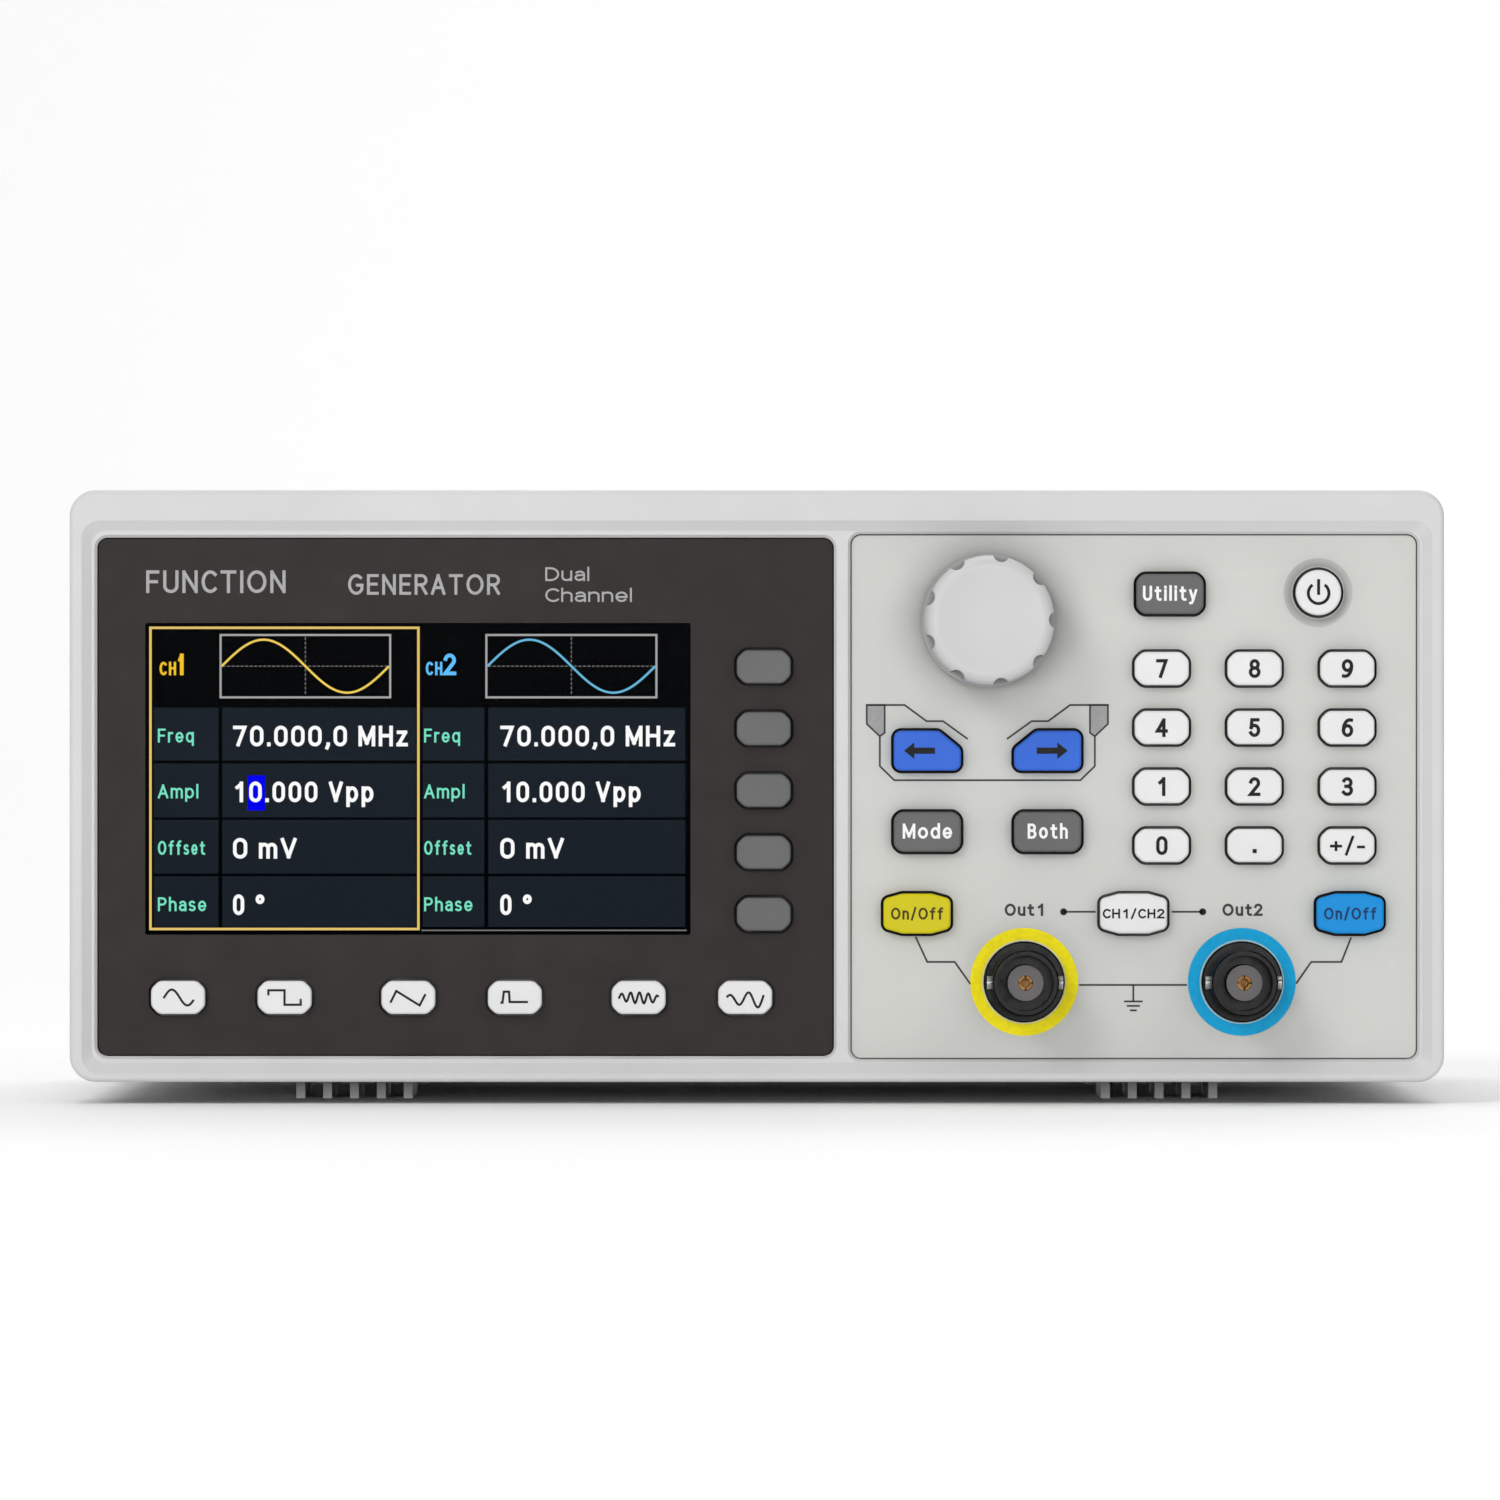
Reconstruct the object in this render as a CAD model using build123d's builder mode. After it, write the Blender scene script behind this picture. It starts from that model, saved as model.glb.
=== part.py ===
from build123d import *
import os

os.makedirs("parts", exist_ok=True)

# A bench function generator. Millimetres, X to the right seen from the front, Y to the rear, Z up.
# The origin is under the middle of the whole box, on the surface the feet stand on.

# ---------------------------------------------------------------------------- driving dimensions

BODY_WIDTH = 200.0
BODY_HEIGHT = 86.1
BODY_DEPTH = 142.0
FOOT_HEIGHT = 3.2
KNOB_PROUD = 13.0
REAR_JACK_PROUD = 9.1

OVERALL_DEPTH = KNOB_PROUD + BODY_DEPTH + REAR_JACK_PROUD
FRONT_Y = KNOB_PROUD - OVERALL_DEPTH / 2
REAR_Y = FRONT_Y + BODY_DEPTH
BODY_BOTTOM = FOOT_HEIGHT
BODY_TOP = FOOT_HEIGHT + BODY_HEIGHT
MIDDLE_Z = (BODY_BOTTOM + BODY_TOP) / 2

# depths of the front's layers, from the rim backward
PLATEAU_Y = FRONT_Y + 0.8
PANEL_FACE_Y = FRONT_Y + 1.3
FLOOR_FRONT_Y = FRONT_Y + 2.3
FLOOR_BACK_Y = FRONT_Y + 4.3
LAYER_GAP = 0.1
FRONT_BOARD_Y = FRONT_Y + 8.2
BOARD_THICKNESS = 1.6
SOCKET_Y = FRONT_Y + 14.0
BEZEL_BACK_Y = FRONT_Y + 20.0

# front panels, each as low and high X and Z
BEZEL_CORNER = 3.8
RIM_ROUNDING = 0.6
BEZEL_WALL = 2.3
BEZEL_CAVITY_CORNER = 1.6
SOCKET_STEP = 1.5
SOCKET_CORNER = 3.0
DISH_TOP_EDGE = ((-98.25, 98.25), (4.4, 84.9))
DISH_CORNER = 2.6
PLATEAU_EDGE = ((-96.8, 96.8), (6.0, 83.4))
PLATEAU_CORNER = 1.9
SCREEN_PANEL = ((-95.9, 11.1), (7.05, 82.3))
KEYPAD_PANEL = ((13.75, 96.0), (6.6, 82.8))
PANEL_CORNER = 1.4
PANEL_GAP = 0.12
PANEL_CHAMFER = 0.4
PANEL_EDGE_CHAMFER = 0.12
DISPLAY_OPENING = ((-89.05, -9.65), (24.6, 70.0))
DISPLAY_CORNER = 0.3
DISPLAY_WINDOW = ((-90.35, -8.35), (23.3, 71.3))
DISPLAY_WINDOW_CORNER = 0.6
DISPLAY_GAP = 0.05
DISPLAY_LENS_THICKNESS = 0.8

# keys
KEY_STEP = 1.6
KEY_GAP = 0.4
KEY_FLANGE_WIDTH = 0.8
KEY_FLANGE_THICKNESS = 0.8
PILL_RADIUS = 1.5
PILL_LENGTH = 1.5
KEY_EDGE_ROUNDING = 0.35
SMALL_KEY = (7.85, 4.85)
SMALL_KEY_CUT = 1.15
MEDIUM_KEY = (9.75, 5.8)
MEDIUM_KEY_CUT = 0.9
KEY_CORNER = 1.3
ARROW_KEY_CORNER = 1.1
ARROW_KEY_CUT = (3.2, 2.6)
BARREL_FLAT = 2.15
BARREL_DROP = 0.75
BARREL_CORNER = 0.9
POWER_KEY_CENTRE = (81.7, 74.4)
POWER_KEY_RADIUS = 3.3
POWER_DISH_RADIUS = 5.05
POWER_DISH_FLOOR_RADIUS = 3.9
POWER_DISH_DEPTH = 0.5

# knob and encoder
KNOB_X = 33.66
KNOB_Z = 70.3
KNOB_RADIUS = 9.65
KNOB_FACE_RADIUS = 7.85
KNOB_BASE_Y = FRONT_Y + 0.7
KNOB_FACE_Y = FRONT_Y - KNOB_PROUD
FLUTE_COUNT = 9
FLUTE_RADIUS = 1.25
FLUTE_CENTRE_RADIUS = 9.75
SHAFT_RADIUS = 3.0
SHAFT_CLEARANCE = 0.05
BUSHING_RADIUS = 3.45
BUSHING_GAP = 0.45

# coaxial jacks, as centre X and Z
OUTPUT_JACKS = ((38.9, 17.75), (70.6, 17.75))
REAR_JACKS = ((36.0, 26.0), (62.0, 26.0))
JACK_HOLE_RADIUS = 4.9
JACK_NUT_ACROSS_FLATS = 12.7
JACK_NUT_THICKNESS = 2.4
JACK_THREAD_RADIUS = 4.6
JACK_ROOT_RADIUS = 4.6
JACK_NOSE_RADIUS = 4.8
JACK_REACH = 11.6
JACK_TAIL = -10.0

# covers and rear panel
COVER_WIDTH = BODY_WIDTH - 1.8
COVER_HEIGHT = BODY_HEIGHT - 1.8
COVER_CORNER = 2.9
COVER_INNER_CORNER = 1.0
GROOVE_CORNER = 1.7
REAR_PANEL_CORNER = 1.6
WALL = 2.2
COVER_FRONT_Y = SOCKET_Y + LAYER_GAP
COVER_BOTTOM = MIDDLE_Z - COVER_HEIGHT / 2
COVER_TOP = MIDDLE_Z + COVER_HEIGHT / 2
INNER_BOTTOM = COVER_BOTTOM + WALL
INNER_TOP = COVER_TOP - WALL
PARTING_Z = 46.3
REAR_PANEL_FACE_Y = REAR_Y - 2.5
REAR_PANEL_THICKNESS = 2.0
GROOVE_DEPTH = 1.1
GROOVE_GAP = 0.05
CASE_SCREWS = ((-88.0, -40.0), (88.0, -40.0), (-88.0, 62.0), (88.0, 62.0))
CASE_BOSS_RADIUS = 4.0
HEAD_COLLAR_RADIUS = 4.8
CASE_BOSS_JOIN_Z = 20.0
SCREW_HEAD_RADIUS = 2.8
SCREW_HEAD_GAP = 0.4
SCREW_SHANK_RADIUS = 1.5
SCREW_SHANK_GAP = 0.2
PILOT_GAP = 0.04
SLOT_WIDTH = 2.4

# feet: the front pair folds out, the rear pair is moulded into the bottom cover
FOOT_X = 59.5
RIB_COUNT = 5
RIB_WIDTH = 1.3
RIB_PITCH = 3.97
LEG_HALF_WIDTH = 8.6
LEG_HINGE_Y = FRONT_Y + 27.0
LEG_HINGE_Z = 5.6
LEG_PLATE = (4.6, 6.6)
LEG_LENGTH = 29.5
LEG_RIB_START = 3.2
LEG_BARREL_RADIUS = 1.5
LEG_PIN_RADIUS = 1.0
LEG_PIN_CLEARANCE = 0.08
LEG_PIN_REACH = 10.2
LEG_POCKET_HALF_WIDTH = 9.0
LEG_POCKET_CEILING = 7.6
LEG_POCKET_ROOF = 9.2
LEG_HOUSING_HALF_WIDTH = 11.0
LEG_HOUSING_WALL = 1.8
LEG_PIN_END_GAP = 0.2
REAR_FEET = (REAR_Y - 35.0, REAR_Y - 8.0)

# inside boards, as low and high X and Y
BOARD_Z = 14.0
BOARD_TOP = BOARD_Z + BOARD_THICKNESS
MAIN_BOARD = ((-8.0, 80.0), (-48.0, 58.0))
MAIN_BOARD_SCREWS = ((-4.0, -44.0), (76.0, -44.0), (-4.0, 46.0), (76.0, 54.0))
POWER_BOARD = ((-80.0, -16.0), (-30.0, 44.0))
POWER_BOARD_SCREWS = ((-76.0, -26.0), (-20.0, -26.0), (-76.0, 40.0), (-20.0, 40.0))
FRONT_BOARD = ((-97.0, 97.0), (5.9, 86.6))
FRONT_BOARD_SCREWS = ((-94.0, 8.6), (12.4, 8.6), (93.0, 8.6), (-90.0, 82.6), (12.4, 82.6), (92.0, 82.6))
BOSS_RADIUS = 2.6
BOSS_HOLE_RADIUS = 1.25
BOARD_CORNER = 2.0
BOARD_SCREW_HOLE_RADIUS = 1.6

# rear power unit: an inlet socket, a fuse drawer under it and a rocker switch beside them
INLET_FLANGE = ((-85.0, -27.0), (16.0, 52.0))
INLET_BODY = ((-82.5, -29.5), (18.5, 49.5))
INLET_FLANGE_THICKNESS = 2.0
INLET_FACE_Y = REAR_PANEL_FACE_Y + INLET_FLANGE_THICKNESS
INLET_BACK_Y = REAR_Y - 26.0
INLET_CENTRE = (-68.5, 39.5)
INLET_CAVITY = (24.8, 16.4)
INLET_CAVITY_DEPTH = 16.0
INLET_BODY_CORNER = 0.4
FUSE_CENTRE = (-68.5, 24.2)
FUSE_OPENING = (25.2, 7.4)
FUSE_DEPTH = 22.0
FUSE_GAP = 0.2
ROCKER_CENTRE = (-39.5, 34.0)
ROCKER_OPENING = (13.0, 19.0)
ROCKER_WIDTH = 12.4
ROCKER_PIVOT_Y = INLET_FACE_Y - 3.5
ROCKER_POCKET_DEPTH = 13.5
ROCKER_TILT = 10.0
ROCKER_PIN_RADIUS = 1.1

USB_CENTRE = (8.0, 21.2)
USB_SHELL = (12.0, 11.0)
USB_LENGTH = 16.0
USB_CORNER = 0.5
USB_PROUD = 0.3
USB_MOUTH_DEPTH = 9.5
USB_TONGUE = (5.5, 3.1)
USB_TONGUE_SETBACK = 1.2


# ---------------------------------------------------------------------------- shared shapes


def front_plane(y):
    """The plane across the body at depth y, seen from the front: its x is X and its y is Z."""
    return Plane.XZ.offset(-y)


def middle(span):
    return (span[0] + span[1]) / 2


def length(span):
    return span[1] - span[0]


def grown(spans, margin):
    """The same rectangle with every side moved outward."""
    return tuple((low - margin, high + margin) for low, high in spans)


def span_about(centre, size):
    return (centre - size / 2, centre + size / 2)


def slab(spans, radius, y_front, y_back, mode=Mode.ADD):
    """A plate across the body with rounded corners."""
    with BuildSketch(front_plane(y_back)) as outline:
        with Locations((middle(spans[0]), middle(spans[1]))):
            RectangleRounded(length(spans[0]), length(spans[1]), radius)
    extrude(outline.sketch, amount=y_back - y_front, mode=mode)


def sloped_pocket(front_spans, front_radius, y_front, back_spans, back_radius, y_back):
    """Cut a pocket whose four walls slope from one rounded rectangle to another."""
    with BuildSketch(front_plane(y_front)) as front_outline:
        with Locations((middle(front_spans[0]), middle(front_spans[1]))):
            RectangleRounded(length(front_spans[0]), length(front_spans[1]), front_radius)
    with BuildSketch(front_plane(y_back)) as back_outline:
        with Locations((middle(back_spans[0]), middle(back_spans[1]))):
            RectangleRounded(length(back_spans[0]), length(back_spans[1]), back_radius)
    loft([front_outline.sketch.faces()[0], back_outline.sketch.faces()[0]], mode=Mode.SUBTRACT)


def block(x_span, y_span, z_span, mode=Mode.ADD):
    with Locations((middle(x_span), middle(y_span), middle(z_span))):
        Box(length(x_span), length(y_span), length(z_span), mode=mode)


def rod(x, z, radius, y_front, y_back, mode=Mode.ADD):
    """A cylinder along Y."""
    with BuildSketch(front_plane(y_back)) as section:
        with Locations((x, z)):
            Circle(radius)
    extrude(section.sketch, amount=y_back - y_front, mode=mode)


def post(x, y, radius, z_low, z_high, mode=Mode.ADD):
    """A cylinder along Z."""
    with BuildSketch(Plane.XY.offset(z_low)) as section:
        with Locations((x, y)):
            Circle(radius)
    extrude(section.sketch, amount=z_high - z_low, mode=mode)


def cross_rod(x_span, y, z, radius, mode=Mode.ADD):
    """A cylinder along X."""
    with BuildSketch(Plane.YZ.offset(x_span[0])) as section:
        with Locations((y, z)):
            Circle(radius)
    extrude(section.sketch, amount=length(x_span), mode=mode)


def turned(x, y, z, outward, profile, mode=Mode.ADD):
    """A solid of revolution about a line along Y, from points of radius and distance outward."""
    with BuildSketch(Plane(origin=(x, y, z), x_dir=(1, 0, 0), z_dir=(0, 0, outward))) as half:
        Polygon(*profile, align=None)
    revolve(half.sketch, axis=Axis((x, y, z), (0, 1, 0)), mode=mode)


def finish(piece, name):
    """Label a finished piece and write it to its own file."""
    piece.part.label = name
    export_step(piece.part, f"parts/{name}.step")


USB_SPANS = (span_about(USB_CENTRE[0], USB_SHELL[0]), span_about(USB_CENTRE[1], USB_SHELL[1]))

# ---------------------------------------------------------------------------- keys: names, shapes, places

KEYS = []
WHOLE_FRONT = ((-BODY_WIDTH / 2, BODY_WIDTH / 2), (BODY_BOTTOM, BODY_TOP))

DIGIT_COLUMNS = (58.9, 72.4, 85.9)
DIGIT_ROWS = (
    (63.35, ("key_7", "key_8", "key_9")),
    (54.76, ("key_4", "key_5", "key_6")),
    (46.18, ("key_1", "key_2", "key_3")),
    (37.6, ("key_0", "key_point", "key_sign")),
)
for row_z, row_names in DIGIT_ROWS:
    for column_x, key_name in zip(DIGIT_COLUMNS, row_names):
        KEYS.append((key_name, "small", column_x, row_z))

SOFT_KEY_X = 1.0
SOFT_KEY_TOP_Z = 63.6
SOFT_KEY_PITCH = 9.0
for number in range(5):
    KEYS.append((f"soft_key_{number + 1}", "small", SOFT_KEY_X, SOFT_KEY_TOP_Z - SOFT_KEY_PITCH * number))

WAVE_KEY_Z = 15.5
WAVE_PAIR_PITCH = 33.5
WAVE_KEY_PITCH = 15.5
WAVE_FIRST_X = -84.2
WAVE_NAMES = ("sine_key", "square_key", "ramp_key", "pulse_key", "noise_key", "arbitrary_key")
for number, key_name in enumerate(WAVE_NAMES):
    key_x = WAVE_FIRST_X + WAVE_PAIR_PITCH * (number // 2) + WAVE_KEY_PITCH * (number % 2)
    KEYS.append((key_name, "small", key_x, WAVE_KEY_Z))

KEYS += [
    ("utility_key", "medium", 60.1, 74.2),
    ("mode_key", "medium", 24.8, 39.6),
    ("both_key", "medium", 42.3, 39.6),
    ("left_arrow_key", "arrow_left", 24.8, 51.4),
    ("right_arrow_key", "arrow_right", 42.3, 51.4),
    ("output_1_key", "barrel", 23.3, 27.7),
    ("channel_select_key", "barrel", 54.8, 27.7),
    ("output_2_key", "barrel", 86.3, 27.7),
    ("power_key", "round", *POWER_KEY_CENTRE),
]


def cut_corner_points(size, cut):
    half_x = size[0] / 2
    half_z = size[1] / 2
    return [
        (-half_x + cut, half_z), (-half_x, half_z - cut),
        (-half_x, -half_z + cut), (-half_x + cut, -half_z),
        (half_x - cut, -half_z), (half_x, -half_z + cut), (half_x, half_z - cut), (half_x - cut, half_z),
    ]


def arrow_points(side):
    """A block whose top corner on one side is cut away; side is 1 where the cut is on the right."""
    half_x = MEDIUM_KEY[0] / 2
    half_z = MEDIUM_KEY[1] / 2
    cut_x, cut_z = ARROW_KEY_CUT
    points = [
        (-half_x, half_z), (-half_x, -half_z), (half_x, -half_z),
        (half_x, half_z - cut_z), (half_x - cut_x, half_z),
    ]
    if side < 0:
        points = [(-x, z) for x, z in reversed(points)]
    return points


def barrel_points():
    half_x = MEDIUM_KEY[0] / 2
    half_z = MEDIUM_KEY[1] / 2
    return [
        (-BARREL_FLAT, half_z), (-half_x, half_z - BARREL_DROP), (-half_x, -half_z + BARREL_DROP),
        (-BARREL_FLAT, -half_z), (BARREL_FLAT, -half_z), (half_x, -half_z + BARREL_DROP),
        (half_x, half_z - BARREL_DROP), (BARREL_FLAT, half_z),
    ]


KEY_OUTLINES = {
    "small": (cut_corner_points(SMALL_KEY, SMALL_KEY_CUT), KEY_CORNER),
    "medium": (cut_corner_points(MEDIUM_KEY, MEDIUM_KEY_CUT), KEY_CORNER),
    "arrow_left": (arrow_points(1), ARROW_KEY_CORNER),
    "arrow_right": (arrow_points(-1), ARROW_KEY_CORNER),
    "barrel": (barrel_points(), BARREL_CORNER),
}


def key_face(shape, x, z, y, margin=0.0):
    """One key's outline at depth y, grown outward by a margin."""
    if shape == "round":
        with BuildSketch(front_plane(y)) as outline:
            with Locations((x, z)):
                Circle(POWER_KEY_RADIUS + margin)
        return outline.sketch
    points, corner = KEY_OUTLINES[shape]
    with BuildSketch(front_plane(y)) as outline:
        with Locations((x, z)):
            Polygon(*points, align=None)
        fillet(outline.vertices(), corner)
        if margin > 0:
            offset(amount=margin, mode=Mode.REPLACE)
    return outline.sketch


def cut_key_holes(wanted, margin, y_front, y_back):
    """Cut a hole for every key whose centre lies inside the wanted X and Z spans."""
    for _, shape, x, z in KEYS:
        inside = wanted[0][0] < x < wanted[0][1] and wanted[1][0] < z < wanted[1][1]
        if inside:
            extrude(key_face(shape, x, z, y_back, margin), amount=y_back - y_front, mode=Mode.SUBTRACT)


# ---------------------------------------------------------------------------- front bezel

with BuildPart() as front_bezel:
    slab(WHOLE_FRONT, BEZEL_CORNER, FRONT_Y, BEZEL_BACK_Y)
    fillet(front_bezel.faces().sort_by(Axis.Y)[0].edges(), RIM_ROUNDING)
    sloped_pocket(DISH_TOP_EDGE, DISH_CORNER, FRONT_Y, PLATEAU_EDGE, PLATEAU_CORNER, PLATEAU_Y)
    for panel in (SCREEN_PANEL, KEYPAD_PANEL):
        pocket = grown(panel, PANEL_GAP)
        pocket_corner = PANEL_CORNER + PANEL_GAP
        mouth = grown(pocket, PANEL_CHAMFER)
        mouth_corner = pocket_corner + PANEL_CHAMFER
        sloped_pocket(mouth, mouth_corner, PLATEAU_Y, pocket, pocket_corner, PANEL_FACE_Y)
        slab(pocket, pocket_corner, PANEL_FACE_Y, FLOOR_FRONT_Y, Mode.SUBTRACT)
    cavity = grown(WHOLE_FRONT, -BEZEL_WALL)
    slab(cavity, BEZEL_CAVITY_CORNER, FLOOR_BACK_Y, SOCKET_Y, Mode.SUBTRACT)
    slab(grown(cavity, SOCKET_STEP), SOCKET_CORNER, SOCKET_Y, BEZEL_BACK_Y, Mode.SUBTRACT)
    for boss_x, boss_z in FRONT_BOARD_SCREWS:
        rod(boss_x, boss_z, BOSS_RADIUS, FLOOR_BACK_Y, FRONT_BOARD_Y)
        rod(boss_x, boss_z, BOSS_HOLE_RADIUS, FLOOR_BACK_Y + 0.5, FRONT_BOARD_Y, Mode.SUBTRACT)
    slab(DISPLAY_WINDOW, DISPLAY_WINDOW_CORNER, FLOOR_FRONT_Y, FLOOR_BACK_Y, Mode.SUBTRACT)
    cut_key_holes(WHOLE_FRONT, KEY_GAP, FLOOR_FRONT_Y, FLOOR_BACK_Y)
    for jack_x, jack_z in OUTPUT_JACKS:
        rod(jack_x, jack_z, JACK_HOLE_RADIUS, FLOOR_FRONT_Y, FLOOR_BACK_Y, Mode.SUBTRACT)
    rod(KNOB_X, KNOB_Z, BUSHING_RADIUS + BUSHING_GAP, FLOOR_FRONT_Y, FLOOR_BACK_Y, Mode.SUBTRACT)
finish(front_bezel, "front_bezel")

# ---------------------------------------------------------------------------- panels and display

with BuildPart() as screen_panel:
    slab(SCREEN_PANEL, PANEL_CORNER, PANEL_FACE_Y, FLOOR_FRONT_Y)
    chamfer(screen_panel.faces().sort_by(Axis.Y)[0].edges(), PANEL_EDGE_CHAMFER)
    slab(DISPLAY_OPENING, DISPLAY_CORNER, PANEL_FACE_Y, FLOOR_FRONT_Y, Mode.SUBTRACT)
    cut_key_holes(SCREEN_PANEL, KEY_GAP, PANEL_FACE_Y, FLOOR_FRONT_Y)
finish(screen_panel, "screen_panel")

with BuildPart() as display_lens:
    lens_spans = grown(DISPLAY_OPENING, -DISPLAY_GAP)
    slab(lens_spans, DISPLAY_CORNER - DISPLAY_GAP, PANEL_FACE_Y, PANEL_FACE_Y + DISPLAY_LENS_THICKNESS)
finish(display_lens, "display_lens")

with BuildPart() as keypad_panel:
    slab(KEYPAD_PANEL, PANEL_CORNER, PANEL_FACE_Y, FLOOR_FRONT_Y)
    chamfer(keypad_panel.faces().sort_by(Axis.Y)[0].edges(), PANEL_EDGE_CHAMFER)
    dish_floor = ((POWER_DISH_FLOOR_RADIUS, -POWER_DISH_DEPTH), (0, -POWER_DISH_DEPTH))
    dish = ((0, 0), (POWER_DISH_RADIUS, 0), *dish_floor)
    turned(POWER_KEY_CENTRE[0], PANEL_FACE_Y, POWER_KEY_CENTRE[1], -1, dish, Mode.SUBTRACT)
    cut_key_holes(KEYPAD_PANEL, KEY_GAP, PANEL_FACE_Y, FLOOR_FRONT_Y)
    for jack_x, jack_z in OUTPUT_JACKS:
        rod(jack_x, jack_z, JACK_HOLE_RADIUS, PANEL_FACE_Y, FLOOR_FRONT_Y, Mode.SUBTRACT)
    rod(KNOB_X, KNOB_Z, BUSHING_RADIUS + BUSHING_GAP, PANEL_FACE_Y, FLOOR_FRONT_Y, Mode.SUBTRACT)
finish(keypad_panel, "keypad_panel")

LCD_CASE = ((-92.35, -6.35), (20.6, 74.0))
LCD_GLASS = ((-90.05, -8.65), (23.6, 71.0))
LCD_GLASS_Y = FRONT_Y + 3.0
LCD_BACK_Y = FRONT_Y + 7.6
LCD_CASE_CORNER = 0.6
with BuildPart() as lcd_module:
    slab(LCD_CASE, LCD_CASE_CORNER, FLOOR_BACK_Y + LAYER_GAP, LCD_BACK_Y)
    slab(LCD_GLASS, DISPLAY_CORNER, LCD_GLASS_Y, FLOOR_BACK_Y + LAYER_GAP)
finish(lcd_module, "lcd_module")

# ---------------------------------------------------------------------------- keys and key mats

KEY_FACE_Y = PANEL_FACE_Y - KEY_STEP
KEY_FLANGE_Y = FRONT_Y + 4.5
for key_name, shape, key_x, key_z in KEYS:
    with BuildPart() as key:
        extrude(key_face(shape, key_x, key_z, KEY_FLANGE_Y), amount=KEY_FLANGE_Y - KEY_FACE_Y)
        fillet(key.faces().sort_by(Axis.Y)[0].edges(), KEY_EDGE_ROUNDING)
        flange_back = KEY_FLANGE_Y + KEY_FLANGE_THICKNESS
        extrude(key_face(shape, key_x, key_z, flange_back, KEY_FLANGE_WIDTH), amount=KEY_FLANGE_THICKNESS)
        rod(key_x, key_z, PILL_RADIUS, flange_back, flange_back + PILL_LENGTH)
    finish(key, key_name)

MAT_FRONT_Y = FLOOR_BACK_Y + LAYER_GAP
MAT_BACK_Y = FRONT_Y + 5.9
MAT_HOLE_MARGIN = 1.05
MAT_CORNER = 1.0
MAT_JACK_HOLE_RADIUS = 9.0
MAT_KNOB_HOLE_RADIUS = 5.0
SOFT_KEY_MAT = ((-5.6, 9.0), (11.3, 72.0))
WAVE_KEY_MAT = ((-91.0, 9.0), (11.3, 20.0))
KEYPAD_MAT = ((16.0, 95.0), (21.5, 79.3))
with BuildPart() as key_mats:
    for mat in (SOFT_KEY_MAT, WAVE_KEY_MAT, KEYPAD_MAT):
        slab(mat, MAT_CORNER, MAT_FRONT_Y, MAT_BACK_Y)
    cut_key_holes(WHOLE_FRONT, MAT_HOLE_MARGIN, MAT_FRONT_Y, MAT_BACK_Y)
    for jack_x, jack_z in OUTPUT_JACKS:
        rod(jack_x, jack_z, MAT_JACK_HOLE_RADIUS, MAT_FRONT_Y, MAT_BACK_Y, Mode.SUBTRACT)
    rod(KNOB_X, KNOB_Z, MAT_KNOB_HOLE_RADIUS, MAT_FRONT_Y, MAT_BACK_Y, Mode.SUBTRACT)
finish(key_mats, "key_mats")

# ---------------------------------------------------------------------------- front board

FRONT_BOARD_BACK_Y = FRONT_BOARD_Y + BOARD_THICKNESS
FRONT_BOARD_JACK_HOLE_RADIUS = 5.4
FRONT_BOARD_BUSHING_GAP = 0.25
FRONT_BOARD_SCREW_HOLE_RADIUS = 1.5

# each part on the board as low and high X, low and high Z, and height
FRONT_CHIPS = (
    ((-60.0, -46.0), (40.0, 54.0), 1.4),
    ((-30.0, -22.0), (30.0, 36.0), 1.2),
    ((50.0, 56.0), (58.0, 68.0), 1.5),
    ((0.0, 30.0), (18.0, 24.0), 3.0),
    ((60.0, 66.0), (34.0, 40.0), 1.2),
)
with BuildPart() as front_board:
    slab(FRONT_BOARD, BOARD_CORNER, FRONT_BOARD_Y, FRONT_BOARD_BACK_Y)
    for chip_x, chip_z, chip_height in FRONT_CHIPS:
        block(chip_x, (FRONT_BOARD_BACK_Y, FRONT_BOARD_BACK_Y + chip_height), chip_z)
    for hole_x, hole_z in FRONT_BOARD_SCREWS:
        rod(hole_x, hole_z, FRONT_BOARD_SCREW_HOLE_RADIUS, FRONT_BOARD_Y, FRONT_BOARD_BACK_Y, Mode.SUBTRACT)
    for jack_x, jack_z in OUTPUT_JACKS:
        rod(jack_x, jack_z, FRONT_BOARD_JACK_HOLE_RADIUS, FRONT_BOARD_Y, FRONT_BOARD_BACK_Y, Mode.SUBTRACT)
    bushing_hole_radius = BUSHING_RADIUS + FRONT_BOARD_BUSHING_GAP
    rod(KNOB_X, KNOB_Z, bushing_hole_radius, FRONT_BOARD_Y, FRONT_BOARD_BACK_Y, Mode.SUBTRACT)
finish(front_board, "front_board")

# ---------------------------------------------------------------------------- encoder and knob

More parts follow.
